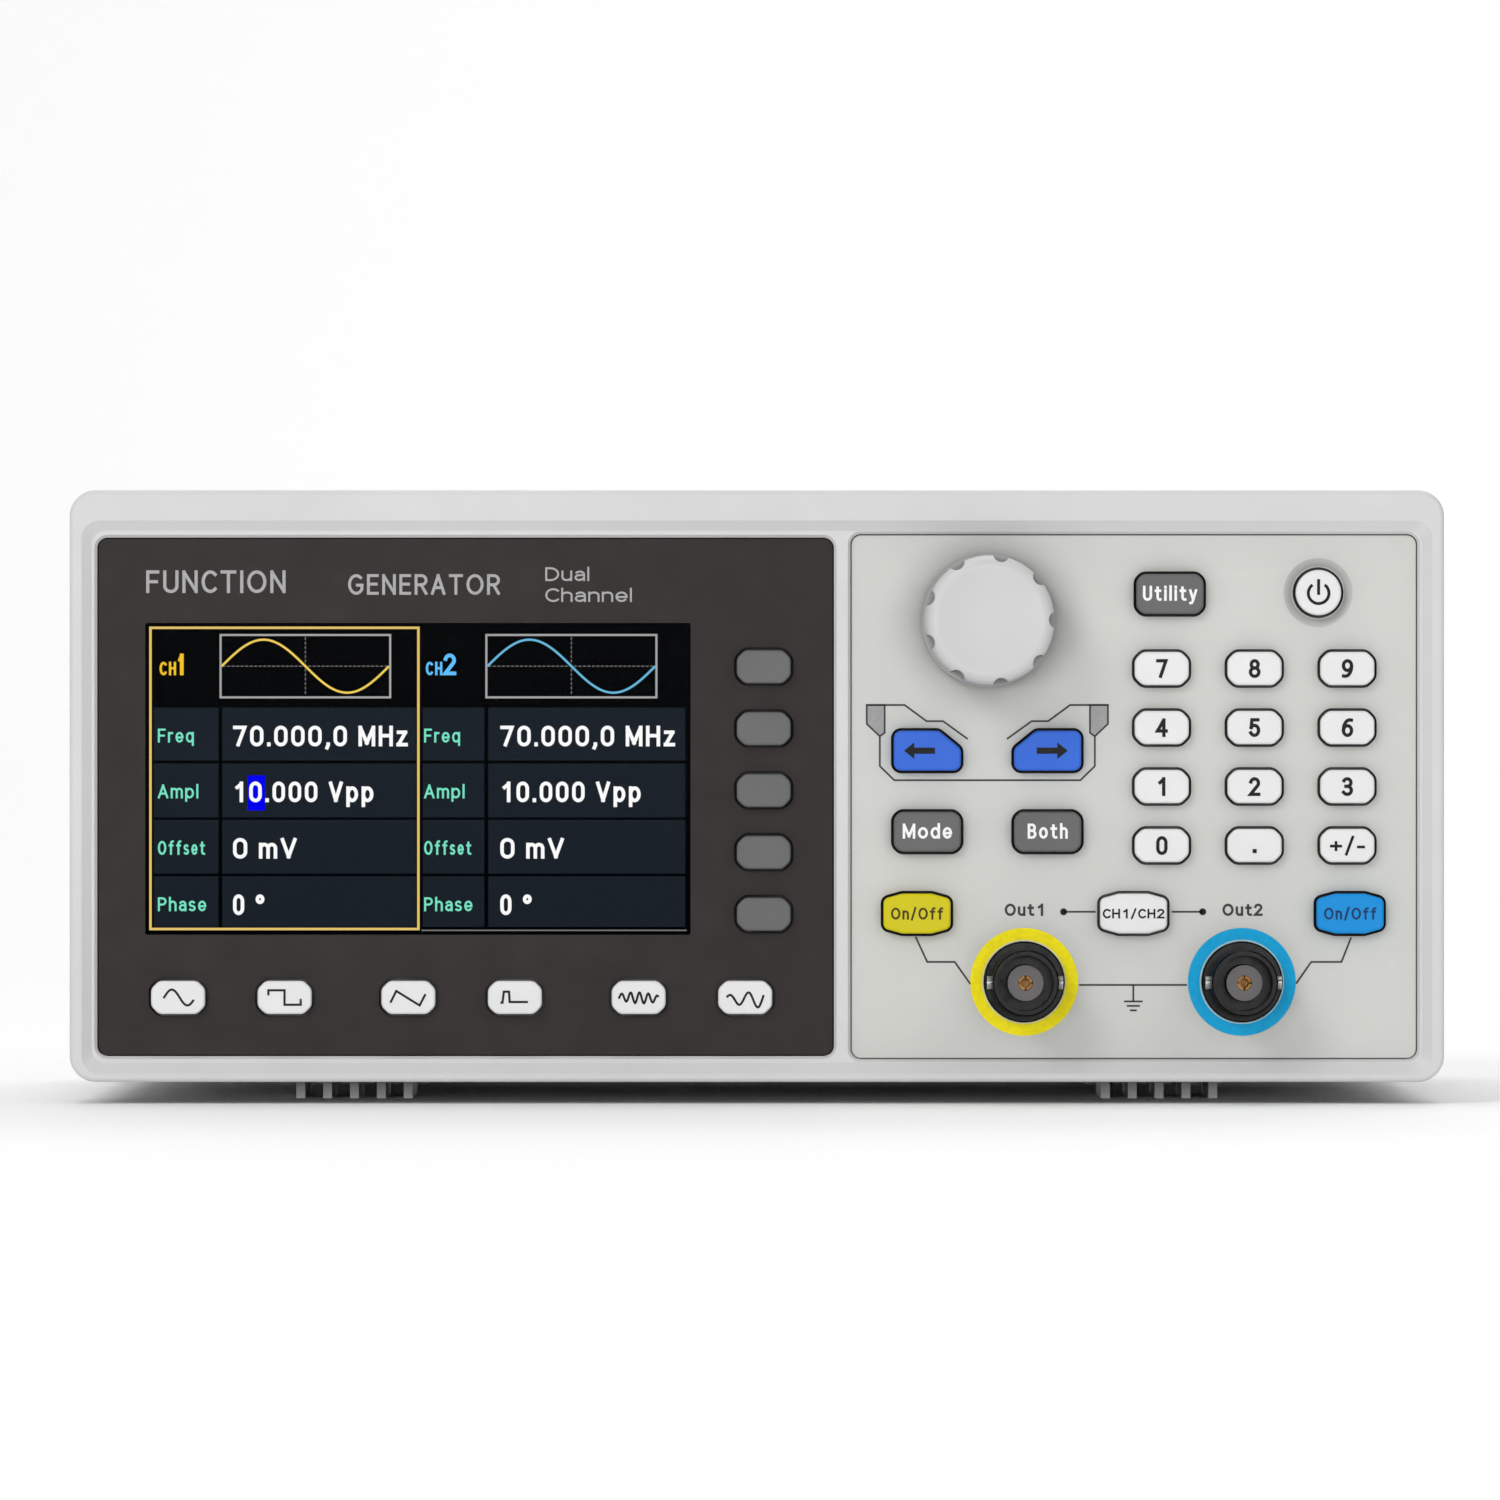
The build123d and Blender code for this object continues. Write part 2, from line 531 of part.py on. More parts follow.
ENCODER_BODY = (11.7, 12.2)
ENCODER_CORNER = 0.6
ENCODER_DEPTH = 6.5
TERMINAL_PITCH = 2.5
TERMINAL_WIDTH = 0.8
TERMINAL_THICKNESS = 0.4
TERMINAL_REACH = 2.4
TERMINAL_STEP = 2.0
SHAFT_END_GAP = 0.2
SHAFT_CHAMFER = 0.4
SHAFT_BACK_Y = FRONT_BOARD_BACK_Y + 4.5
SHAFT_FRONT_Y = FRONT_Y - 10.0
with BuildPart() as rotary_encoder:
    encoder_spans = (span_about(KNOB_X, ENCODER_BODY[0]), span_about(KNOB_Z, ENCODER_BODY[1]))
    slab(encoder_spans, ENCODER_CORNER, FRONT_BOARD_BACK_Y, FRONT_BOARD_BACK_Y + ENCODER_DEPTH)
    rod(KNOB_X, KNOB_Z, BUSHING_RADIUS, FLOOR_FRONT_Y, FRONT_BOARD_BACK_Y)
    terminal_front_y = FRONT_BOARD_BACK_Y + TERMINAL_STEP
    terminal_y = (terminal_front_y, terminal_front_y + TERMINAL_THICKNESS)
    terminal_z = (encoder_spans[1][0] - TERMINAL_REACH, encoder_spans[1][0])
    for terminal in (-1, 0, 1):
        block(span_about(KNOB_X + terminal * TERMINAL_PITCH, TERMINAL_WIDTH), terminal_y, terminal_z)
    bore_radius = SHAFT_RADIUS + SHAFT_CLEARANCE
    rod(KNOB_X, KNOB_Z, bore_radius, FLOOR_FRONT_Y, SHAFT_BACK_Y + SHAFT_END_GAP, Mode.SUBTRACT)
finish(rotary_encoder, "rotary_encoder")

with BuildPart() as encoder_shaft:
    rod(KNOB_X, KNOB_Z, SHAFT_RADIUS, SHAFT_FRONT_Y, SHAFT_BACK_Y)
    chamfer(encoder_shaft.faces().sort_by(Axis.Y)[0].edges(), SHAFT_CHAMFER)
finish(encoder_shaft, "encoder_shaft")

KNOB_COLLAR_FRONT_Y = KNOB_BASE_Y - 2.1
KNOB_BODY_RADIUS = 9.35
KNOB_DISH_RADIUS = 7.5
KNOB_DISH_DEPTH = 0.4
KNOB_DISH_SPHERE = (KNOB_DISH_RADIUS**2 + KNOB_DISH_DEPTH**2) / (2 * KNOB_DISH_DEPTH)
with BuildPart() as tuning_knob:
    rod(KNOB_X, KNOB_Z, KNOB_BODY_RADIUS, KNOB_FACE_Y, KNOB_BASE_Y)
    fillet(tuning_knob.faces().sort_by(Axis.Y)[0].edges(), KNOB_BODY_RADIUS - KNOB_FACE_RADIUS)
    with BuildSketch(front_plane(KNOB_BASE_Y)) as flutes:
        with Locations((KNOB_X, KNOB_Z)):
            with PolarLocations(FLUTE_CENTRE_RADIUS, FLUTE_COUNT):
                Circle(FLUTE_RADIUS)
    extrude(amount=KNOB_BASE_Y - KNOB_FACE_Y, mode=Mode.SUBTRACT)
    rod(KNOB_X, KNOB_Z, KNOB_RADIUS, KNOB_COLLAR_FRONT_Y, KNOB_BASE_Y)
    with Locations((KNOB_X, KNOB_FACE_Y - KNOB_DISH_SPHERE + KNOB_DISH_DEPTH, KNOB_Z)):
        Sphere(KNOB_DISH_SPHERE, mode=Mode.SUBTRACT)
    bore_front_y = SHAFT_FRONT_Y - SHAFT_END_GAP
    rod(KNOB_X, KNOB_Z, SHAFT_RADIUS + SHAFT_CLEARANCE, bore_front_y, KNOB_BASE_Y, Mode.SUBTRACT)
finish(tuning_knob, "tuning_knob")

# ---------------------------------------------------------------------------- coaxial jacks

# every jack as centre X, Z, depth of its mounting face, outward direction and the wall behind its flange
JACKS = [(x, z, PANEL_FACE_Y, -1, FLOOR_BACK_Y - PANEL_FACE_Y) for x, z in OUTPUT_JACKS]
JACKS += [(x, z, REAR_PANEL_FACE_Y, 1, REAR_PANEL_THICKNESS) for x, z in REAR_JACKS]

# the shell's half section as radius and distance outward: tail, thread, flange, root and nose
SHELL_PROFILE = (
    (0, JACK_TAIL), (3.4, JACK_TAIL), (3.4, -8.5), (4.4, -8.5), (JACK_THREAD_RADIUS, -8.3),
    (JACK_THREAD_RADIUS, 0), (5.9, 0), (5.9, 1.0), (5.7, 1.2), (JACK_ROOT_RADIUS, 1.2),
    (JACK_ROOT_RADIUS, 7.4), (JACK_NOSE_RADIUS, 7.6), (JACK_NOSE_RADIUS, 11.4), (4.6, JACK_REACH),
    (0, JACK_REACH),
)
JACK_BORE_RADIUS = 4.05
JACK_BORE_FLOOR = 3.0
INSULATOR_RADIUS = 2.6
INSULATOR_ENDS = (-9.8, 9.3)
CONTACT_RADIUS = 1.05
CONTACT_ENDS = (-13.0, 8.9)
CONTACT_BORE_RADIUS = 0.68
CONTACT_BORE_FLOOR = 4.4
CONTACT_SLOT_FLOOR = 5.4
CONTACT_SLOT = 0.28
JACK_FIT_GAP = 0.05
LUG_DISTANCE = 6.4
LUG_RADIUS = 0.95
LUG_REACH = 5.5


def along(start_y, outward, first, second):
    """The low and high depth of a stretch given by two distances outward from a face."""
    ends = sorted((start_y + outward * first, start_y + outward * second))
    return ends[0], ends[1]


with BuildPart() as bnc_shells:
    for jack_x, jack_z, face_y, outward, _ in JACKS:
        turned(jack_x, face_y, jack_z, outward, SHELL_PROFILE)
        cross_rod(span_about(jack_x, 2 * LUG_REACH), face_y + outward * LUG_DISTANCE, jack_z, LUG_RADIUS)
        bore_y = along(face_y, outward, JACK_BORE_FLOOR, JACK_REACH)
        rod(jack_x, jack_z, JACK_BORE_RADIUS, *bore_y, Mode.SUBTRACT)
        insulator_hole_y = along(face_y, outward, JACK_TAIL, JACK_BORE_FLOOR)
        rod(jack_x, jack_z, INSULATOR_RADIUS + JACK_FIT_GAP, *insulator_hole_y, Mode.SUBTRACT)
finish(bnc_shells, "bnc_shells")

with BuildPart() as bnc_insulators:
    for jack_x, jack_z, face_y, outward, _ in JACKS:
        insulator_y = along(face_y, outward, *INSULATOR_ENDS)
        rod(jack_x, jack_z, INSULATOR_RADIUS, *insulator_y)
        rod(jack_x, jack_z, CONTACT_RADIUS + JACK_FIT_GAP, *insulator_y, Mode.SUBTRACT)
finish(bnc_insulators, "bnc_insulators")

with BuildPart() as bnc_contacts:
    for jack_x, jack_z, face_y, outward, _ in JACKS:
        rod(jack_x, jack_z, CONTACT_RADIUS, *along(face_y, outward, *CONTACT_ENDS))
        contact_bore_y = along(face_y, outward, CONTACT_BORE_FLOOR, CONTACT_ENDS[1])
        rod(jack_x, jack_z, CONTACT_BORE_RADIUS, *contact_bore_y, Mode.SUBTRACT)
        slot_y = along(face_y, outward, CONTACT_SLOT_FLOOR, CONTACT_ENDS[1])
        across = 3 * CONTACT_RADIUS
        block(span_about(jack_x, CONTACT_SLOT), slot_y, span_about(jack_z, across), Mode.SUBTRACT)
        block(span_about(jack_x, across), slot_y, span_about(jack_z, CONTACT_SLOT), Mode.SUBTRACT)
finish(bnc_contacts, "bnc_contacts")

with BuildPart() as bnc_nuts:
    for jack_x, jack_z, face_y, outward, wall in JACKS:
        nut_y = along(face_y, outward, -wall, -wall - JACK_NUT_THICKNESS)
        with BuildSketch(front_plane(nut_y[1])) as nut_outline:
            with Locations((jack_x, jack_z)):
                RegularPolygon(JACK_NUT_ACROSS_FLATS / 2, 6, major_radius=False)
                Circle(JACK_THREAD_RADIUS + 2 * JACK_FIT_GAP, mode=Mode.SUBTRACT)
        extrude(amount=JACK_NUT_THICKNESS)
finish(bnc_nuts, "bnc_nuts")

# ---------------------------------------------------------------------------- covers

COVER_OUTLINE = ((-COVER_WIDTH / 2, COVER_WIDTH / 2), (COVER_BOTTOM, COVER_TOP))
PANEL_OUTLINE = grown(COVER_OUTLINE, GROOVE_DEPTH - 2 * GROOVE_GAP - WALL)
BEYOND_X = (-BODY_WIDTH, BODY_WIDTH)
BEYOND_Y = (COVER_FRONT_Y - 5.0, REAR_Y + 5.0)
HEAD_SEAT_Z = 8.0
HEAD_COLLAR_Z = 10.4
PILOT_DEPTH = 14.0
REAR_EDGE_CHAMFER = 0.5
MERGE = 0.4
SIDE_SLOTS_Y = (-18.0, 42.0)
SIDE_SLOT_COUNT = 11
SIDE_SLOT_HEIGHT = 22.0
SIDE_SLOT_Z = 67.0


def cover_tube():
    """The whole tube of the two covers, with the groove that holds the rear panel."""
    slab(COVER_OUTLINE, COVER_CORNER, COVER_FRONT_Y, REAR_Y)
    with BuildSketch(front_plane(REAR_Y)) as rear_mouth:
        with Locations((0, MIDDLE_Z)):
            RectangleRounded(COVER_WIDTH - 2 * WALL, COVER_HEIGHT - 2 * WALL, COVER_INNER_CORNER)
    extrude(rear_mouth.sketch, amount=REAR_Y - COVER_FRONT_Y, mode=Mode.SUBTRACT)
    groove_back = REAR_PANEL_FACE_Y + GROOVE_GAP
    groove_front = REAR_PANEL_FACE_Y - REAR_PANEL_THICKNESS - GROOVE_GAP
    slab(grown(COVER_OUTLINE, GROOVE_DEPTH - WALL), GROOVE_CORNER, groove_front, groove_back, Mode.SUBTRACT)


with BuildPart() as top_cover:
    cover_tube()
    rear_edges = top_cover.edges().group_by(Axis.Y)[-1]
    chamfer(rear_edges.sort_by(Axis.Z)[-1:], REAR_EDGE_CHAMFER)
    block(BEYOND_X, BEYOND_Y, (0, PARTING_Z), Mode.SUBTRACT)
    for boss_x, boss_y in CASE_SCREWS:
        post(boss_x, boss_y, CASE_BOSS_RADIUS, CASE_BOSS_JOIN_Z, INNER_TOP + MERGE)
        pilot_top = CASE_BOSS_JOIN_Z + PILOT_DEPTH
        post(boss_x, boss_y, SCREW_SHANK_RADIUS + PILOT_GAP, CASE_BOSS_JOIN_Z, pilot_top, Mode.SUBTRACT)
    with BuildSketch(Plane.YZ.offset(-BODY_WIDTH / 2)) as side_slots:
        slot_pitch = length(SIDE_SLOTS_Y) / (SIDE_SLOT_COUNT - 1)
        with Locations((middle(SIDE_SLOTS_Y), SIDE_SLOT_Z)):
            with GridLocations(slot_pitch, 1, SIDE_SLOT_COUNT, 1):
                SlotOverall(SIDE_SLOT_HEIGHT, SLOT_WIDTH, rotation=90)
    extrude(amount=BODY_WIDTH, mode=Mode.SUBTRACT)
finish(top_cover, "top_cover")

LEG_POCKET_Y = (LEG_HINGE_Y - 2.2, LEG_HINGE_Y + LEG_LENGTH + 1.0)
STANDOFF_RADIUS = 3.0
BOTTOM_SLOT_COUNT = 11
BOTTOM_SLOT_PITCH = 6.0
BOTTOM_SLOT_LENGTH = 30.0
BOTTOM_SLOT_Y = 12.0
with BuildPart() as bottom_cover:
    cover_tube()
    block(BEYOND_X, BEYOND_Y, (PARTING_Z, BODY_TOP), Mode.SUBTRACT)
    for boss_x, boss_y in CASE_SCREWS:
        post(boss_x, boss_y, HEAD_COLLAR_RADIUS, INNER_BOTTOM - MERGE, HEAD_COLLAR_Z)
        post(boss_x, boss_y, CASE_BOSS_RADIUS, HEAD_COLLAR_Z, CASE_BOSS_JOIN_Z)
        post(boss_x, boss_y, SCREW_HEAD_RADIUS + SCREW_HEAD_GAP, BODY_BOTTOM, HEAD_SEAT_Z, Mode.SUBTRACT)
        shank_hole_radius = SCREW_SHANK_RADIUS + SCREW_SHANK_GAP
        post(boss_x, boss_y, shank_hole_radius, HEAD_SEAT_Z, CASE_BOSS_JOIN_Z, Mode.SUBTRACT)
    for standoff_x, standoff_y in MAIN_BOARD_SCREWS + POWER_BOARD_SCREWS:
        post(standoff_x, standoff_y, STANDOFF_RADIUS, INNER_BOTTOM - MERGE, BOARD_Z)
        post(standoff_x, standoff_y, BOSS_HOLE_RADIUS, INNER_BOTTOM + 1.0, BOARD_Z, Mode.SUBTRACT)
    for foot_x in (-FOOT_X, FOOT_X):
        housing_x = (foot_x - LEG_HOUSING_HALF_WIDTH, foot_x + LEG_HOUSING_HALF_WIDTH)
        housing_y = (LEG_POCKET_Y[0] - LEG_HOUSING_WALL, LEG_POCKET_Y[1] + LEG_HOUSING_WALL)
        block(housing_x, housing_y, (COVER_BOTTOM + MERGE, LEG_POCKET_ROOF))
        pocket_x = (foot_x - LEG_POCKET_HALF_WIDTH, foot_x + LEG_POCKET_HALF_WIDTH)
        block(pocket_x, LEG_POCKET_Y, (0, LEG_POCKET_CEILING), Mode.SUBTRACT)
        hinge_x = span_about(foot_x, 2 * (LEG_PIN_REACH + LEG_PIN_END_GAP))
        cross_rod(hinge_x, LEG_HINGE_Y, LEG_HINGE_Z, LEG_PIN_RADIUS + LEG_PIN_CLEARANCE, Mode.SUBTRACT)
        for rib in range(RIB_COUNT):
            rib_x = foot_x + RIB_PITCH * (rib - (RIB_COUNT - 1) / 2)
            block(span_about(rib_x, RIB_WIDTH), REAR_FEET, (0, COVER_BOTTOM + MERGE))
    with BuildSketch(Plane.XY) as bottom_slots:
        with Locations((0, BOTTOM_SLOT_Y)):
            with GridLocations(BOTTOM_SLOT_PITCH, 1, BOTTOM_SLOT_COUNT, 1):
                SlotOverall(BOTTOM_SLOT_LENGTH, SLOT_WIDTH, rotation=90)
    extrude(amount=INNER_BOTTOM + 1.0, mode=Mode.SUBTRACT)
finish(bottom_cover, "bottom_cover")

for side_name, foot_x in (("left", -FOOT_X), ("right", FOOT_X)):
    with BuildPart() as tilt_leg:
        leg_x = (foot_x - LEG_HALF_WIDTH, foot_x + LEG_HALF_WIDTH)
        block(leg_x, (LEG_HINGE_Y, LEG_HINGE_Y + LEG_LENGTH), LEG_PLATE)
        cross_rod(leg_x, LEG_HINGE_Y, LEG_HINGE_Z, LEG_BARREL_RADIUS)
        cross_rod((foot_x - LEG_PIN_REACH, foot_x + LEG_PIN_REACH), LEG_HINGE_Y, LEG_HINGE_Z, LEG_PIN_RADIUS)
        for rib in range(RIB_COUNT):
            rib_x = foot_x + RIB_PITCH * (rib - (RIB_COUNT - 1) / 2)
            rib_y = (LEG_HINGE_Y + LEG_RIB_START, LEG_HINGE_Y + LEG_LENGTH)
            block(span_about(rib_x, RIB_WIDTH), rib_y, (0, LEG_PLATE[0] + MERGE))
    finish(tilt_leg, f"tilt_leg_{side_name}")

# ---------------------------------------------------------------------------- rear panel

REAR_SLOT_COLUMNS = 22
REAR_SLOT_PITCH = 5.0
REAR_SLOT_HEIGHT = 9.0
REAR_SLOT_ROW_PITCH = 12.0
REAR_SLOT_WIDTH = 2.2
REAR_SLOT_Z = 70.0
REAR_HOLE_GAP = 0.2
REAR_PANEL_FRONT_Y = REAR_PANEL_FACE_Y - REAR_PANEL_THICKNESS
with BuildPart() as rear_panel:
    slab(PANEL_OUTLINE, REAR_PANEL_CORNER, REAR_PANEL_FRONT_Y, REAR_PANEL_FACE_Y)
    inlet_hole = grown(INLET_BODY, REAR_HOLE_GAP)
    slab(inlet_hole, INLET_BODY_CORNER, REAR_PANEL_FRONT_Y, REAR_PANEL_FACE_Y, Mode.SUBTRACT)
    usb_hole = grown(USB_SPANS, REAR_HOLE_GAP)
    slab(usb_hole, USB_CORNER, REAR_PANEL_FRONT_Y, REAR_PANEL_FACE_Y, Mode.SUBTRACT)
    for jack_x, jack_z in REAR_JACKS:
        rod(jack_x, jack_z, JACK_HOLE_RADIUS, REAR_PANEL_FRONT_Y, REAR_PANEL_FACE_Y, Mode.SUBTRACT)
    with BuildSketch(front_plane(REAR_PANEL_FACE_Y)) as rear_slots:
        with Locations((0, REAR_SLOT_Z)):
            with GridLocations(REAR_SLOT_PITCH, REAR_SLOT_ROW_PITCH, REAR_SLOT_COLUMNS, 2):
                SlotOverall(REAR_SLOT_HEIGHT, REAR_SLOT_WIDTH, rotation=90)
    extrude(amount=REAR_PANEL_THICKNESS, mode=Mode.SUBTRACT)
finish(rear_panel, "rear_panel")

# ---------------------------------------------------------------------------- rear power unit

BLADE = (2.0, 4.0)
BLADE_LENGTH = 11.5
BLADES = ((-7.0, -2.0), (0.0, 2.0), (7.0, -2.0))
BLADE_ROOT = 1.0
TAB = (0.8, 4.8)
TAB_LENGTH = 6.0
INLET_CORNER_CUT = 5.0
INLET_CAVITY_ROUNDING = 1.0
INLET_FLANGE_CORNER = 2.5
INLET_FLANGE_CHAMFER = 0.5
FUSE_END_GAP = 0.4
FUSE_CORNER = 0.4
ROCKER_POCKET_CORNER = 0.6
ROCKER_PIN_SOCKET = 1.1
ROCKER_PIN_GAP = 0.08


def rocker_profile(tilt):
    """The rocker's side outline in Y and Z about its pivot, with its two faces meeting in a shallow V."""
    return Polygon((-4.0, -7.0), (5.0, -7.3), (3.7, 0.0), (5.0, 7.3), (-4.0, 7.0), align=None, rotation=tilt)


with BuildPart() as power_inlet:
    slab(INLET_FLANGE, INLET_FLANGE_CORNER, REAR_PANEL_FACE_Y, INLET_FACE_Y)
    chamfer(power_inlet.faces().sort_by(Axis.Y)[-1].edges(), INLET_FLANGE_CHAMFER)
    slab(INLET_BODY, INLET_BODY_CORNER, INLET_BACK_Y, REAR_PANEL_FACE_Y)
    half_width = INLET_CAVITY[0] / 2
    half_height = INLET_CAVITY[1] / 2
    cut_width = half_width - INLET_CORNER_CUT
    cut_height = half_height - INLET_CORNER_CUT
    with BuildSketch(front_plane(INLET_FACE_Y)) as socket_outline:
        with Locations(INLET_CENTRE):
            Polygon((-half_width, -half_height), (half_width, -half_height), (half_width, cut_height),
                    (cut_width, half_height), (-cut_width, half_height), (-half_width, cut_height), align=None)
        fillet(socket_outline.vertices(), INLET_CAVITY_ROUNDING)
    extrude(amount=INLET_CAVITY_DEPTH, mode=Mode.SUBTRACT)
    cavity_floor = INLET_FACE_Y - INLET_CAVITY_DEPTH
    for blade_x, blade_z in BLADES:
        x = INLET_CENTRE[0] + blade_x
        z = INLET_CENTRE[1] + blade_z
        blade_y = (cavity_floor - BLADE_ROOT, cavity_floor + BLADE_LENGTH)
        block(span_about(x, BLADE[0]), blade_y, span_about(z, BLADE[1]))
        tab_y = (INLET_BACK_Y - TAB_LENGTH, INLET_BACK_Y + BLADE_ROOT)
        block(span_about(x, TAB[0]), tab_y, span_about(z, TAB[1]))
    fuse_spans = (span_about(FUSE_CENTRE[0], FUSE_OPENING[0]), span_about(FUSE_CENTRE[1], FUSE_OPENING[1]))
    slab(fuse_spans, FUSE_CORNER, INLET_FACE_Y - FUSE_DEPTH - FUSE_END_GAP, INLET_FACE_Y, Mode.SUBTRACT)
    rocker_x = span_about(ROCKER_CENTRE[0], ROCKER_OPENING[0])
    rocker_z = span_about(ROCKER_CENTRE[1], ROCKER_OPENING[1])
    pocket_front_y = INLET_FACE_Y - ROCKER_POCKET_DEPTH
    slab((rocker_x, rocker_z), ROCKER_POCKET_CORNER, pocket_front_y, INLET_FACE_Y, Mode.SUBTRACT)
    pin_hole_x = span_about(ROCKER_CENTRE[0], ROCKER_OPENING[0] + 2 * ROCKER_PIN_SOCKET)
    pin_hole_radius = ROCKER_PIN_RADIUS + ROCKER_PIN_GAP
    cross_rod(pin_hole_x, ROCKER_PIVOT_Y, ROCKER_CENTRE[1], pin_hole_radius, Mode.SUBTRACT)
finish(power_inlet, "power_inlet")

DRAWER_CORNER = 0.3
DRAWER_LIP = 0.9
DRAWER_LIP_CORNER = 0.8
DRAWER_LIP_THICKNESS = 1.4
DRAWER_LIP_CHAMFER = 0.35
FUSE_BED_WALL = 1.6
FUSE_BED_LENGTH = 20.6
FUSE_BED_Z = (FUSE_CENTRE[1] - 1.0, FUSE_CENTRE[1] + 5.0)
PULL_SLOT = (8.0, 2.6)
PULL_SLOT_DEPTH = 0.8
with BuildPart() as fuse_drawer:
    drawer_spans = grown(fuse_spans, -FUSE_GAP)
    lip_face_y = INLET_FACE_Y + DRAWER_LIP_THICKNESS
    slab(drawer_spans, DRAWER_CORNER, INLET_FACE_Y - FUSE_DEPTH, INLET_FACE_Y)
    slab(grown(drawer_spans, DRAWER_LIP), DRAWER_LIP_CORNER, INLET_FACE_Y, lip_face_y)
    chamfer(fuse_drawer.faces().sort_by(Axis.Y)[-1].edges(), DRAWER_LIP_CHAMFER)
    fuse_bed_y = (INLET_FACE_Y - FUSE_DEPTH + FUSE_BED_WALL, INLET_FACE_Y - FUSE_BED_WALL)
    block(span_about(FUSE_CENTRE[0], FUSE_BED_LENGTH), fuse_bed_y, FUSE_BED_Z, Mode.SUBTRACT)
    pull_x = span_about(FUSE_CENTRE[0], PULL_SLOT[0])
    pull_z = span_about(FUSE_CENTRE[1], PULL_SLOT[1])
    block(pull_x, (lip_face_y - PULL_SLOT_DEPTH, lip_face_y), pull_z, Mode.SUBTRACT)
finish(fuse_drawer, "fuse_drawer")

ROCKER_BACK_ROUNDING = 0.8
ROCKER_TIP_ROUNDING = 0.5
with BuildPart() as power_rocker:
    rocker_plane = Plane(origin=(ROCKER_CENTRE[0] - ROCKER_WIDTH / 2, ROCKER_PIVOT_Y, ROCKER_CENTRE[1]),
                         x_dir=(0, 1, 0), z_dir=(1, 0, 0))
    with BuildSketch(rocker_plane) as rocker_side:
        rocker_profile(ROCKER_TILT)
        fillet(rocker_side.vertices().group_by(Axis.Y)[0], ROCKER_BACK_ROUNDING)
    extrude(amount=ROCKER_WIDTH)
    fillet(power_rocker.edges().filter_by(Axis.X).group_by(Axis.Y)[-1], ROCKER_TIP_ROUNDING)
    rocker_pins_x = span_about(ROCKER_CENTRE[0], ROCKER_WIDTH + 2 * ROCKER_PIN_SOCKET)
    cross_rod(rocker_pins_x, ROCKER_PIVOT_Y, ROCKER_CENTRE[1], ROCKER_PIN_RADIUS)
finish(power_rocker, "power_rocker")

# ---------------------------------------------------------------------------- data port

with BuildPart() as usb_port:
    port_face_y = REAR_PANEL_FACE_Y + USB_PROUD
    slab(USB_SPANS, USB_CORNER, port_face_y - USB_LENGTH, port_face_y)
    with BuildSketch(front_plane(port_face_y)) as port_mouth:
        with Locations(USB_CENTRE):
            Polygon((-4.25, -3.9), (4.25, -3.9), (4.25, 2.2), (2.6, 3.9), (-2.6, 3.9), (-4.25, 2.2),
                    align=None)
    extrude(amount=USB_MOUTH_DEPTH, mode=Mode.SUBTRACT)
    tongue_y = (port_face_y - USB_MOUTH_DEPTH - MERGE, port_face_y - USB_TONGUE_SETBACK)
    block(span_about(USB_CENTRE[0], USB_TONGUE[0]), tongue_y, span_about(USB_CENTRE[1], USB_TONGUE[1]))
finish(usb_port, "usb_port")

# ---------------------------------------------------------------------------- inside boards

# each part on a board as low and high X, low and high Y, and height
MAIN_CHIPS = (
    ((28.0, 52.0), (-12.0, 12.0), 1.4),
    ((4.0, 18.0), (-10.0, 10.0), 1.2),
    ((2.0, 16.0), (20.0, 28.0), 1.4),
    ((22.0, 40.0), (26.0, 34.0), 1.4),
    ((48.0, 60.0), (26.0, 38.0), 1.6),
    ((64.0, 72.0), (-4.0, 8.0), 2.4),
    ((0.0, 30.0), (-42.0, -36.0), 6.0),
    ((-6.0, 4.0), (30.0, 40.0), 5.0),
)
MAIN_CAPACITORS = ((70.0, 20.0), (70.0, 30.0), (0.0, -22.0), (66.0, -26.0))
MAIN_CAPACITOR_RADIUS = 3.0
MAIN_CAPACITOR_HEIGHT = 7.0
with BuildPart() as main_board:
    block(MAIN_BOARD[0], MAIN_BOARD[1], (BOARD_Z, BOARD_TOP))
    fillet(main_board.edges().filter_by(Axis.Z), BOARD_CORNER)
    for chip_x, chip_y, chip_height in MAIN_CHIPS:
        block(chip_x, chip_y, (BOARD_TOP, BOARD_TOP + chip_height))
    for capacitor_x, capacitor_y in MAIN_CAPACITORS:
        post(capacitor_x, capacitor_y, MAIN_CAPACITOR_RADIUS, BOARD_TOP, BOARD_TOP + MAIN_CAPACITOR_HEIGHT)
    for hole_x, hole_y in MAIN_BOARD_SCREWS:
        post(hole_x, hole_y, BOARD_SCREW_HOLE_RADIUS, BOARD_Z, BOARD_TOP, Mode.SUBTRACT)
finish(main_board, "main_board")

HEAT_SINK_BOTTOM = BOARD_TOP + MAIN_CHIPS[0][2]
HEAT_SINK_BASE_TOP = HEAT_SINK_BOTTOM + 3.5
HEAT_SINK_TOP = HEAT_SINK_BOTTOM + 20.0
HEAT_SINK = ((20.0, 60.0), (-20.0, 20.0))
FIN_COUNT = 9
FIN_THICKNESS = 1.6
with BuildPart() as heat_sink:
    block(HEAT_SINK[0], HEAT_SINK[1], (HEAT_SINK_BOTTOM, HEAT_SINK_BASE_TOP))
    fin_pitch = (length(HEAT_SINK[0]) - FIN_THICKNESS) / (FIN_COUNT - 1)
    for fin in range(FIN_COUNT):
        fin_start = HEAT_SINK[0][0] + fin * fin_pitch
        block((fin_start, fin_start + FIN_THICKNESS), HEAT_SINK[1], (HEAT_SINK_BASE_TOP, HEAT_SINK_TOP))
finish(heat_sink, "heat_sink")

